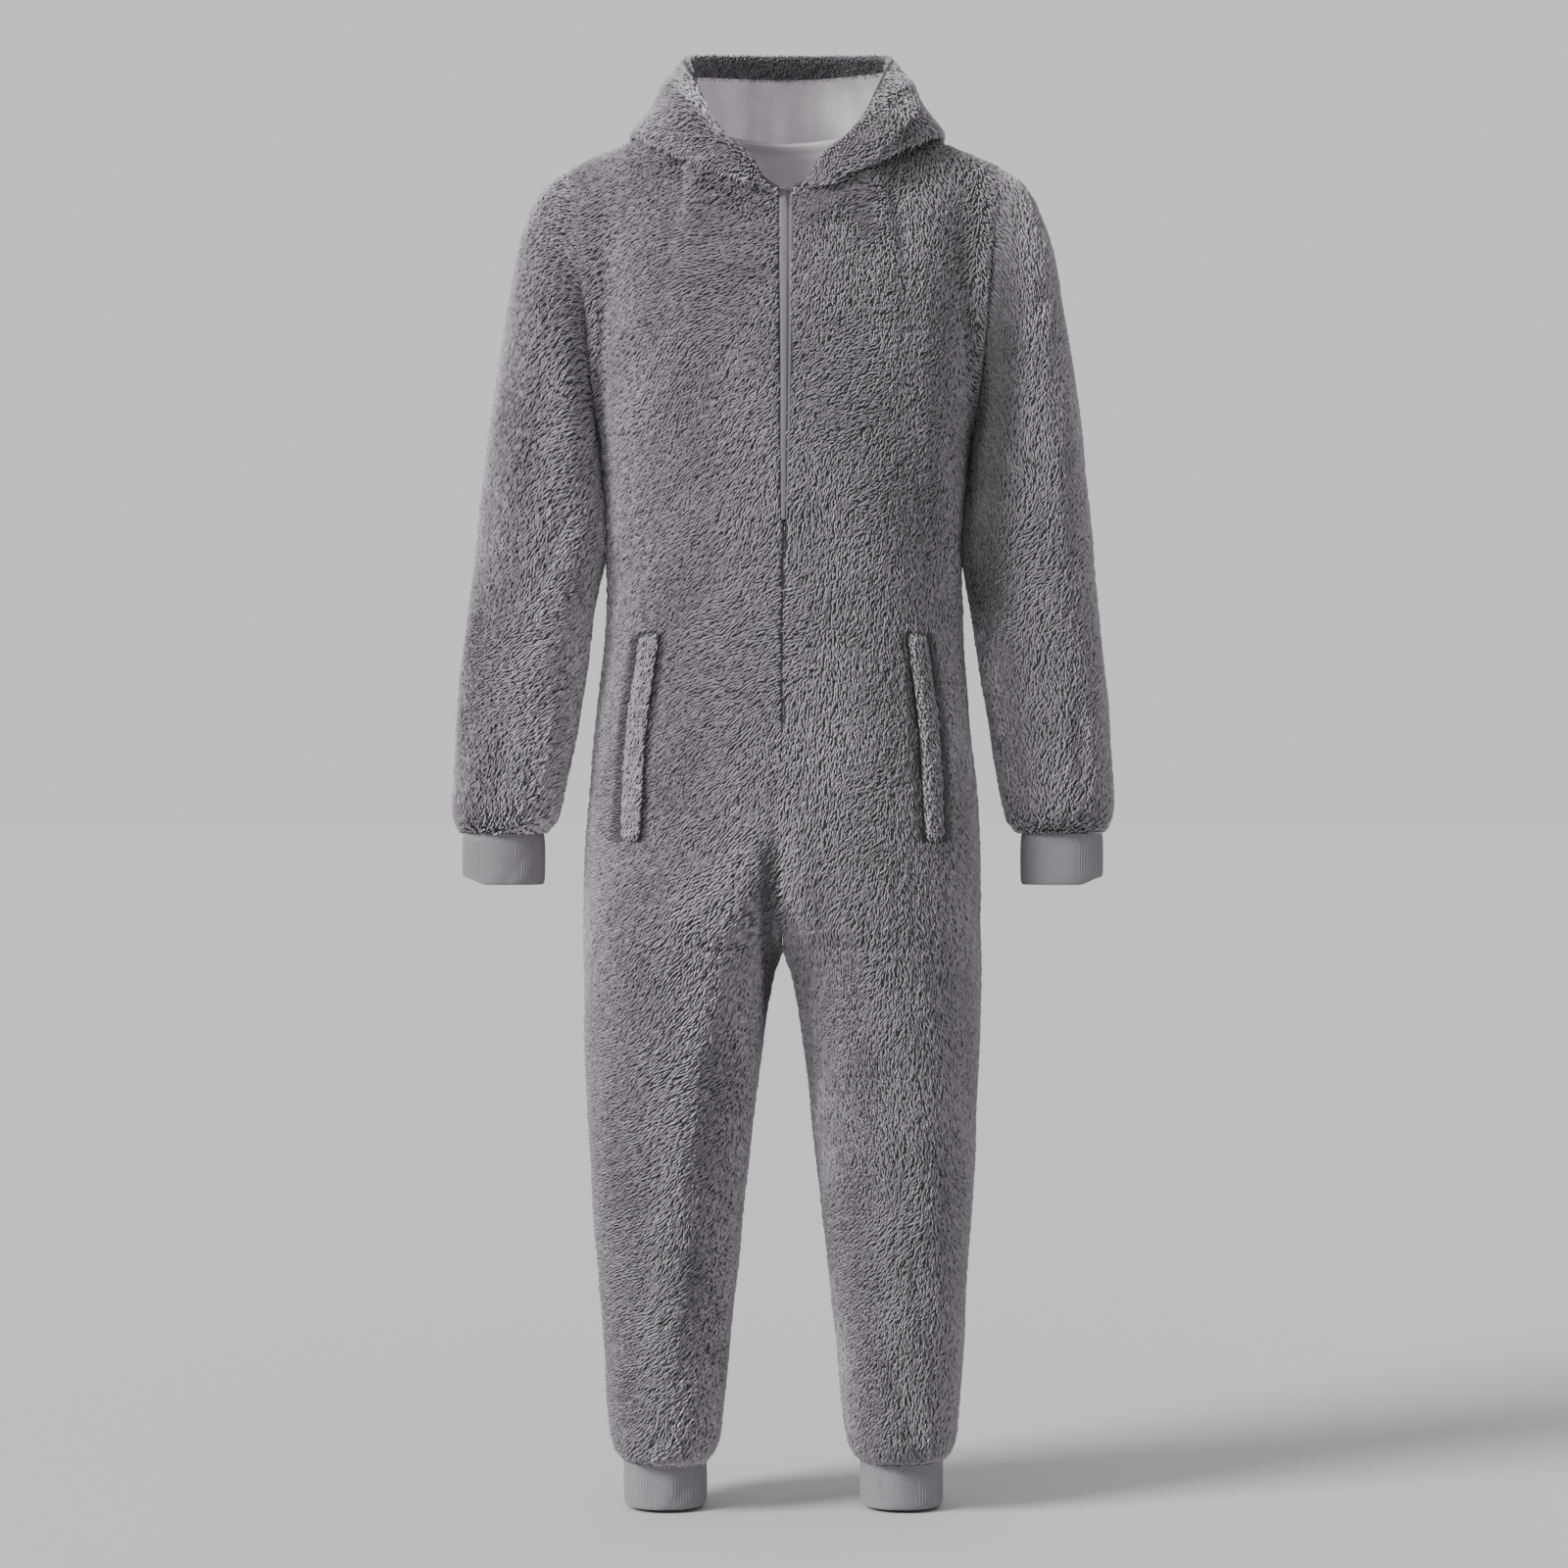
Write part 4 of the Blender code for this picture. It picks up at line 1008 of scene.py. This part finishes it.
def add_sleeve(name, side, looks):
    """A sleeve: its ground, and its pile, with painted shade beside the body."""
    u, v = np.meshgrid(SLEEVE_TURNS, fine_rings(), indexing="ij")
    plain, out = sleeve_point(u, v), sleeve_normal(u, v)
    rises = np.abs(1 - 2 * SLEEVE_TURNS)
    for face, on in ((-1, SLEEVE_TURNS <= 0.5), (1, SLEEVE_TURNS > 0.5)):
        body = body_normal(face, np.ones(on.sum()), rises[on])
        out[on, 0] = shared(out[on, 0], body)
    raised = crease_height(SLEEVE_CREASES, side, plain, out) + softness(side, plain)
    raised += curve(BESIDE, "z", "out", plain[..., 2]) * smoothstep(0.1, 0.8, -out[..., 0])
    distances = edge_distance(plain, closed=True)
    sunk = PILE * smoothstep(-1.0, 7.0, distances[3]) + seam_dip(distances, (0, 0, 1.2, 0.0))
    ground, outer = add_ground(name, plain, out, raised, sunk, FLEECE, side, looks, closed=True)

    def tone(points, normal):
        z = points[:, 2]
        # Painted shade where the body shades the sleeve's inner side below the armpit, and on the
        # wearer's left beside the armhole seam.
        beside = smoothstep(0.0, 0.75, -side * normal[:, 0]) * (normal[:, 1] < 0.3)
        beside = beside * smoothstep(-90.0, -230.0, z) * smoothstep(-560.0, -470.0, z)
        seam = smoothstep(262.0, 216.0, points[:, 0]) * smoothstep(0.2, -0.2, normal[:, 1])
        seam = seam * smoothstep(-50.0, -150.0, z) * smoothstep(-520.0, -400.0, z) * (side > 0)
        return 1.1 * (1 - (0.4 + 0.15 * side) * beside) * (1 - 0.3 * seam)

    return ground, add_pile(name, outer, out, side, looks, (9, 60 + side), LOCK, tone, closed=True)


# ------ the hood

HOOD_SHARES = np.concatenate([(0.0, 0.012), np.linspace(0.035, 1.0, 38)])
RIM_RISE = 0.992  # share of the way from seam to rim at which the cloth turns over the rim
RIM_SUNK = 0.6
ROLL = (FLEECE + 1.0 - RIM_SUNK) / 2
REACH = FLEECE + LINING_GAP
PRESSED = 0.3  # of the fleece's thickness, what is left of it at the neck seam


def facing_rise(shares, side):
    """How far up the facing begins: lower on the wearer's right, and hardly seen beside the V."""
    across = 0.938 + side * 0.016 * smoothstep(1.0, 0.5, shares)
    return across + (0.975 - across) * smoothstep(0.5, 0.42, shares)


# Folds of the hood, in the terms of the panels' creases.
HOOD_CREASES = table(FOLD_COLUMNS, """
1 -1 137 87 68 22 13 -5
1 -1 112 92 56 30 11 2.5
1 -1 154 66 96 8 12 3
1 -1 152 42 112 0 11 -4
-1 -1 146 56 98 10 14 -4.5
-1 -1 122 100 80 36 12 2.5
-1 -1 160 40 120 4 11 3
1 1 34 106 118 66 18 -4
-1 1 40 24 136 -8 18 -4
1 1 44 -20 120 -44 18 3.5
-1 1 50 90 124 40 20 3.5
""")


def hood_raised(side, points, out, rises, shares):
    """How far folds and unevenness raise the hood, fading towards its edges."""
    fade = smoothstep(0.0, 0.12, rises) * smoothstep(1.0, 0.86, rises)
    fade = fade * smoothstep(0.02, 0.14, shares[:, None])
    return fade * (crease_height(HOOD_CREASES, side, points, out) + 0.8 * softness(side, points))


def hood_grid(rises, shares=HOOD_SHARES):
    """The hood's outer side and its outward directions, with rises for all or each share."""
    u, v = np.broadcast_arrays(shares[:, None], np.atleast_2d(rises))
    outer, out = hood_point(u, v), hood_normal(u, v)
    if shares[0] == 0:
        outer[0, :, 0] = curve(ZIP, "z", "half", outer[0, :, 2])
        out[0] = unit(out[0] * (0, 1, 1))
    if shares[-1] == 1:
        outer[-1, :, 0] = 0.0
        out[-1] = unit(out[-1] * (0, 1, 1))
    return outer, out


def pressed(distance):
    """The share of its thickness that the cloth has at this distance from the neck seam."""
    return PRESSED + (1 - PRESSED) * smoothstep(0.0, 16.0, distance)


def add_hood_half(name, side, looks):
    """Half of the hood's fleece, with its pile up to the rim."""
    rises = np.concatenate([np.linspace(0, 0.96, 44), (0.975, RIM_RISE)])
    plain, out = hood_grid(rises)
    distances = edge_distance(plain)
    dip = seam_dip(distances, (0.6, 1.4, 0.8, 0.0)) * pressed(distances[2])
    sunk = RIM_SUNK + (PILE - RIM_SUNK) * smoothstep(0.0, 14.0, distances[3])
    raised = hood_raised(side, plain, out, rises, HOOD_SHARES)
    thick = FLEECE * pressed(distances[2])
    sunk = sunk * pressed(distances[2]) + dip
    ground, outer = add_ground(name, plain, out, raised, sunk, thick, side, looks)

    def keep(points, normal):
        return normal[:, 2] > -0.8

    def tone(points, normal):
        rim = smoothstep(40.0, 90.0, points[:, 2]) * smoothstep(-60.0, -85.0, points[:, 0])
        return 1.12 - 0.22 * rim  # darker at the rim of the wearer's right

    return ground, add_pile(name, outer, out, side, looks, (14, 70 + side), HOOD_LOCK, tone, keep)


def add_hood_facing(name, side, looks):
    """The fleece band inside the rim, turned over it to meet the hood's outer side."""
    start = facing_rise(HOOD_SHARES, side)[:, None]
    rises = start + (RIM_RISE - start) * np.linspace(0, 1, 5)
    plain, out = hood_grid(rises)
    inside = plain - (RIM_SUNK + 2 * ROLL) * out
    rim, rim_out = plain[:, -1], out[:, -1]
    up = unit(plain[:, -1] - plain[:, -2])
    centre = rim - (RIM_SUNK + ROLL) * rim_out
    turns = np.linspace(-math.pi / 2, math.pi / 2, 7)[1:]
    roll_out = [math.sin(t) * rim_out + math.cos(t) * up for t in turns]
    roll = [centre + ROLL * way for way in roll_out]
    outer = np.concatenate([inside, np.stack(roll, axis=1)], axis=1)
    way = np.concatenate([-out, np.stack(roll_out, axis=1)], axis=1)
    ground = add_wall(name + "_cloth", outer, outer - 0.8 * way, side, looks["ground"])

    # Painted shade: the band inside the rim is darker than the fleece, a little lighter where it
    # faces up.
    def tone(points, normal):
        return np.interp(normal[:, 2], (-0.4, 0.9), (0.54, 0.65))

    behind = HOOD_SHARES > 0.44
    grids = outer[behind], way[behind]
    return ground, add_pile(name, *grids, side, looks, (17, 80 + side), SHORT_LOCK, tone)


def mitre(first, second):
    """The corner of two offsets, for a reach of 1 along each of two directions."""
    inner = (first * second).sum(-1, keepdims=True)
    return (first + second) / np.maximum(1 + inner, 0.7)


def neck_directions(shares):
    """The outward directions of the body and of the hood along the neck seam."""
    front = body_normal(-1, 2 * NECK_SHARE * np.minimum(shares, 0.5), 1.0)
    back = body_normal(1, 2 * NECK_SHARE * np.minimum(1 - shares, 0.5), 1.0)
    return np.where((shares <= 0.5)[:, None], front, back), hood_normal(shares, 0.0)


def add_hood_lining(name, side, looks):
    """The smooth inside of the hood, over the neck seam and up to the facing."""
    shares = np.linspace(0.06, 1.0, 40)
    end = facing_rise(shares, side)[:, None] + 0.004
    start = (0.02 + 0.42 * smoothstep(0.66, 0.4, shares))[:, None]
    rises = start + (end - start) * np.linspace(0, 1, 34)
    plain, out = hood_grid(rises, shares)
    reach = REACH * pressed(edge_distance(plain)[2] + 60 * start)[..., None]
    seam = hood_seam(shares)
    body, hood = neck_directions(shares)
    corner = mitre(-body, -hood)
    sweep = [-body, -0.2 * body + 0.8 * corner]
    sweep += [0.92 * corner - 0.08 * hood, 0.4 * corner - 0.6 * hood]
    over = np.stack([seam + PRESSED * REACH * way for way in sweep], axis=1)
    over_out = np.stack([body, unit(body - 0.4 * corner), unit(hood - 0.6 * corner), hood], axis=1)
    raised = hood_raised(side, plain, out, rises, shares)[..., None]
    outer = np.concatenate([over, plain + (raised - reach) * out], axis=1)
    out = np.concatenate([over_out, out], axis=1)
    out[-1] = unit(out[-1] * (0, 1, 1))
    outer[-1, :, 0] = 0
    made = add_wall(name + "_cloth", outer, outer - LINING * out, side, looks["lining"])
    # The rows over the neck seam take the neck facing's look, with its painted light and painted
    # shade.
    rows = outer.shape[1] - 1
    on_seam = np.arange(len(made.data.polygons)) % rows < len(sweep)
    on_seam[2 * rows * (len(shares) - 1) :] = False
    second_look(made, looks["neck"], on_seam)
    return made


def add_neck_facing(looks):
    """The smooth half-moon inside the back, up over the neck seam's ridge."""
    half = np.linspace(0, NECK_SHARE, 12)
    drops = np.linspace(0.3, 0.004, 10)
    u, v = np.meshgrid(half, drops, indexing="ij")
    v = 1 - v * (1 - 0.35 * (u / NECK_SHARE) ** 2)
    outer, inward = body_point(1, u, v), -body_normal(1, u, v)
    reach = REACH * pressed(edge_distance(outer)[3]) + LINING_GAP
    outer = outer + reach[..., None] * inward
    shares = 1 - half / (2 * NECK_SHARE)
    body, hood = neck_directions(shares)
    top = hood_seam(shares) + PRESSED * REACH * mitre(-body, -hood) - LINING_GAP * body
    outer = np.concatenate([outer, top[:, None]], axis=1)
    inward = np.concatenate([inward, -body[:, None]], axis=1)
    inward[0] = unit(inward[0] * (0, 1, 1))
    outer[0, :, 0] = 0
    both = [np.concatenate([(grid * (-1, 1, 1))[:0:-1], grid]) for grid in (outer, inward)]
    return add_wall("neck_facing_cloth", both[0], both[0] + LINING * both[1], 1, looks["neck"])


# ------ the zip, the welts and the cuffs

CLOSURE = 0.42  # how far the closure lies to the wearer's left, as a share of the half width


def zip_line():
    """The zip's middle line from its lower end up the hood's edge, and which way it faces."""
    rows = fine_panel_rows()
    rows = rows[rows * CHEST_SPAN + CHEST_Z >= ZIP_END_Z - 4]
    collar = np.linspace(0.1, ZIP_ON_COLLAR[1], 5)
    line = np.concatenate([body_point(-1, 0.0, rows), hood_point(0.0, collar)])
    out = np.concatenate([body_normal(-1, 0.0, rows), hood_normal(0.0, collar)])
    return line * (0, 1, 1), unit(out * (0, 1, 1)), curve(ZIP, "z", "half", line[:, 2])


def add_zip(looks):
    """The two tapes as one band, which rolls in to a slit at the closure."""
    line, out, half = zip_line()
    columns = []
    for way in (-1, 1):
        closure = CLOSURE * half + way * (0.3 + 1.2 * smoothstep(-70.0, -48.0, line[:, 2]))
        edge = way * (half - 0.1)
        profile = ((0, -0.5), (0.12, 0.2), (0.35, 0.4), (0.65, 0.45), (0.88, 0.2), (1.0, -1.1))
        for t, height in profile[::-way]:
            x = edge + (closure - edge) * t
            columns.append(line + stacked(x, 0, 0) + (height - ZIP_RECESS) * out)
    outer = np.stack(columns)
    return add_wall("zip_tape", outer, outer - 1.0 * out, 1, looks["tape"])


def add_zip_coil(looks):
    """The coil's small teeth along the closure, on the inner side of the tapes."""
    line, out, half = zip_line()
    run = np.concatenate([[0], np.cumsum(np.linalg.norm(np.diff(line, axis=0), axis=-1))])
    places = np.arange(4.0, run[-1] - 8.0, 1.6)
    spots = stacked(*(np.interp(places, run, line[:, k]) for k in range(3)))
    ways = unit(stacked(*(np.interp(places, run, out[:, k]) for k in range(3))))
    shift = np.interp(places, run, half) * CLOSURE
    up = unit(np.gradient(spots, axis=0))
    centre = spots + stacked(shift, 0, 0) - (ZIP_RECESS + 1.6) * ways
    corners = []
    for c in (-1, 1):
        for a, b in ((-1, -1), (1, -1), (1, 1), (-1, 1)):
            corner = a * 2.0 * np.array((1, 0, 0)) + b * 0.5 * up + c * 0.5 * ways
            corners.append(centre + corner)
    points = np.stack(corners, axis=1).reshape(-1, 3)
    box = ((0, 3, 2, 1), (4, 5, 6, 7), (0, 1, 5, 4), (2, 3, 7, 6), (1, 2, 6, 5), (3, 0, 4, 7))
    faces = (8 * np.arange(len(places))[:, None, None] + np.array(box)).reshape(-1, 4)
    made = mesh_object("zip_coil", swayed(points), faces, looks["tape"], smooth=False)
    second_look(made, looks["ground"], np.repeat(centre[:, 2] > -68.0, len(box)))  # at the top
    return made


def share_at(face, x, z):
    """The share of a panel's width at which it reaches x, at this height below the chest."""
    shares = np.linspace(0, 1, 400)
    found = section_point(face, shares, np.full_like(shares, z))[:, 0]
    return np.interp(x, found, shares)


def add_welt(name, side, looks):
    """A pocket's welt: a soft crowned strip with closed round ends, and its short pile."""
    heights = np.concatenate([
        WELT["z"].min() + np.array((0.0, 1.5, 5.0)), np.linspace(-725, -530, 20),
        WELT["z"].max() - np.array((5.0, 1.5, 0.0)),
    ])
    across = np.linspace(-1, 1, 7)
    ends = np.minimum(heights - heights[0], heights[-1] - heights)
    width = WELT_WIDTH / 2 * np.sqrt(np.clip(0.35 + ends / 9.0, 0, 1))
    xs = curve(WELT, "z", "x", heights) + across[:, None] * width
    shares = np.array([[share_at(-1, x, z) for x, z in zip(row, heights)] for row in xs])
    rows = np.broadcast_to((heights - CHEST_Z) / CHEST_SPAN, shares.shape)
    plain, out = body_point(-1, shares, rows), body_normal(-1, shares, rows)
    raised = fold_height(side, -1, plain) + crease_height(CREASES, side, plain, out)
    crown = np.sqrt(np.clip(1 - 0.8 * np.abs(across) ** 2.5, 0, 1))[:, None]
    crown = crown * np.clip(0.4 + ends / 8.0, 0, 1)
    under = plain + (raised - 1.6)[..., None] * out
    outer = under + ((WELT_THICKNESS + 0.6) * crown + 0.3)[..., None] * out
    ground = add_wall(name + "_cloth", outer, under, side, looks["ground"])
    pile = add_pile(
        name, outer, out, side, looks, (21, 90 + side), WELT_LOCK,
        tone=lambda points, normal: 1.15 - 0.17 * side, lean=0.15, hanging=True,
    )
    return ground, pile


RIB_COLUMNS = 168


def add_cuff(name, side, ring, length, looks, taken_in=0.0, slant=0.0):
    """A rib-knit tube, gathered a little at its seam and turned in at its lower edge."""
    middle = ring.mean(axis=0)
    across = unit((ring - middle) * (1, 1, 0))
    shares = np.array((0.0, 0.03, 0.08, 0.2, 0.4, 0.6, 0.8, 0.92, 0.97, 1.0))
    swell = curve(CUFF, "share", "swell", shares) - taken_in * smoothstep(0, 0.1, shares)
    swell = swell + np.interp(shares, (0.92, 0.97, 1.0), (0, -0.4, -1.2))
    ribs = 0.38 * np.where(np.arange(len(ring)) % 2, 1.0, -1.0)
    aside = (ring - middle)[:, 0] / np.ptp(ring[:, 0]) * 2
    lifted = slant * smoothstep(0.35, 1.0, aside)  # the lower edge rises towards its outer end
    fade = np.interp(shares, (0.0, 0.08, 0.95, 1.0), (0.5, 1.0, 1.0, 0.2))
    uneven = PATCHES(ring * 3.0)
    rows = []
    for share, grown, fading in zip(shares, swell, fade):
        fold = 1.2 * np.exp(-(((aside + 0.9 - 0.8 * share) / 0.16) ** 2))
        fold = fold * math.sin(math.pi * min(share, 0.8))
        out = grown + ribs * fading + 0.5 * uneven * math.sin(math.pi * share) - fold
        down = share * length - share**2 * lifted
        rows.append(ring + across * out[:, None] - stacked(0.0, 0.0, down))
    outer = np.stack(rows, axis=1)
    inner = outer - (RIB - 0.6) * across[:, None]
    return add_wall(name + "_cloth", outer, inner, side, looks["rib"], closed=True)


def ankle_ring():
    """The ankle seam, all round."""
    shares = np.linspace(0, 1, RIB_COLUMNS // 2 + 1)
    front = body_point(-1, shares, -1.0)
    back = body_point(1, shares[::-1], -1.0)
    return np.concatenate([front[:-1], back[:-1]])


def wrist_ring():
    """The wrist seam, all round."""
    return sleeve_point(np.arange(RIB_COLUMNS) / RIB_COLUMNS, 1.0)


# ------ the stage

CAMERA = (-0.002, -3.6, -0.680)
LENS = 75.0  # a 36 mm sensor at 3.6 m then sees 1.728 m
FLOOR_Z = -1476.0
KEY_AIM = (0.80, 0.42, -0.55)


def add_stage():
    """A pale floor that runs into a pale world, a soft key light, and the camera."""
    ring = 96
    turns = 2 * math.pi * np.arange(ring) / ring
    points = [(0.0, 0.0, FLOOR_Z)]
    points += [(60000 * math.cos(t), 60000 * math.sin(t), FLOOR_Z) for t in turns]
    faces = [(0, 1 + k, 1 + (k + 1) % ring) for k in range(ring)]
    pale = new_material("pale floor", (0.465, 0.465, 0.47), 1.0)
    floor = mesh_object("floor", points, faces, pale, smooth=False)
    world = bpy.data.worlds.new("pale room")
    world.use_nodes = True
    room = world.node_tree.nodes["Background"].inputs
    room["Color"].default_value = (1.0, 1.0, 1.0, 1.0)
    room["Strength"].default_value = 0.8
    bpy.context.scene.world = world
    sun = bpy.data.lights.new("key", "SUN")
    sun.energy, sun.angle = 5.6, math.radians(20)
    right, back, up = KEY_AIM
    tilt = math.pi / 2 + math.atan2(up, math.hypot(right, back))
    placed("key", sun).rotation_euler = (tilt, 0.0, math.atan2(back, right) - math.pi / 2)
    lens = bpy.data.cameras.new("camera")
    lens.lens, lens.sensor_width = LENS, 36.0
    camera = placed("camera", lens)
    camera.location, camera.rotation_euler = CAMERA, (math.pi / 2, 0.0, 0.0)
    bpy.context.scene.camera = camera


# ------ everything


def wear(made, part, hand=""):
    """Lets a cloth, with the pile or coil on it, stand for its solid."""
    pieces = made if isinstance(made, tuple) else (made,)
    for piece in pieces:
        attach(piece, "root")
        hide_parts(part + hand)


def main():
    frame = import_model()
    add_stage()
    looks = {name: make_look(*look) for name, look in LOOKS.items()}
    for side, hand in ((1, "_left"), (-1, "_right")):
        for face, part in FACES.items():
            wear(add_panel(part + hand, side, face, looks), part, hand)
        for add, part in (
            (add_sleeve, "sleeve"),
            (add_hood_half, "hood"),
            (add_hood_facing, "hood_facing"),
            (add_hood_lining, "hood_lining"),
            (add_welt, "pocket_welt"),
        ):
            wear(add(part + hand, side, looks), part, hand)
        for part, ring, length, shape in (
            ("cuff_wrist", wrist_ring(), WRIST_CUFF_LENGTH, {"slant": 8.0}),
            ("cuff_ankle", ankle_ring(), ANKLE_CUFF_LENGTH, {"taken_in": 1.8}),
        ):
            wear(add_cuff(part + hand, side, ring, length, looks, **shape), part, hand)
    wear(add_neck_facing(looks), "neck_facing")
    wear((add_zip(looks), add_zip_coil(looks)), "zip")
    for slot in frame["nodes"]["zip_slider"].material_slots:
        slot.material = looks["slider"]


main()
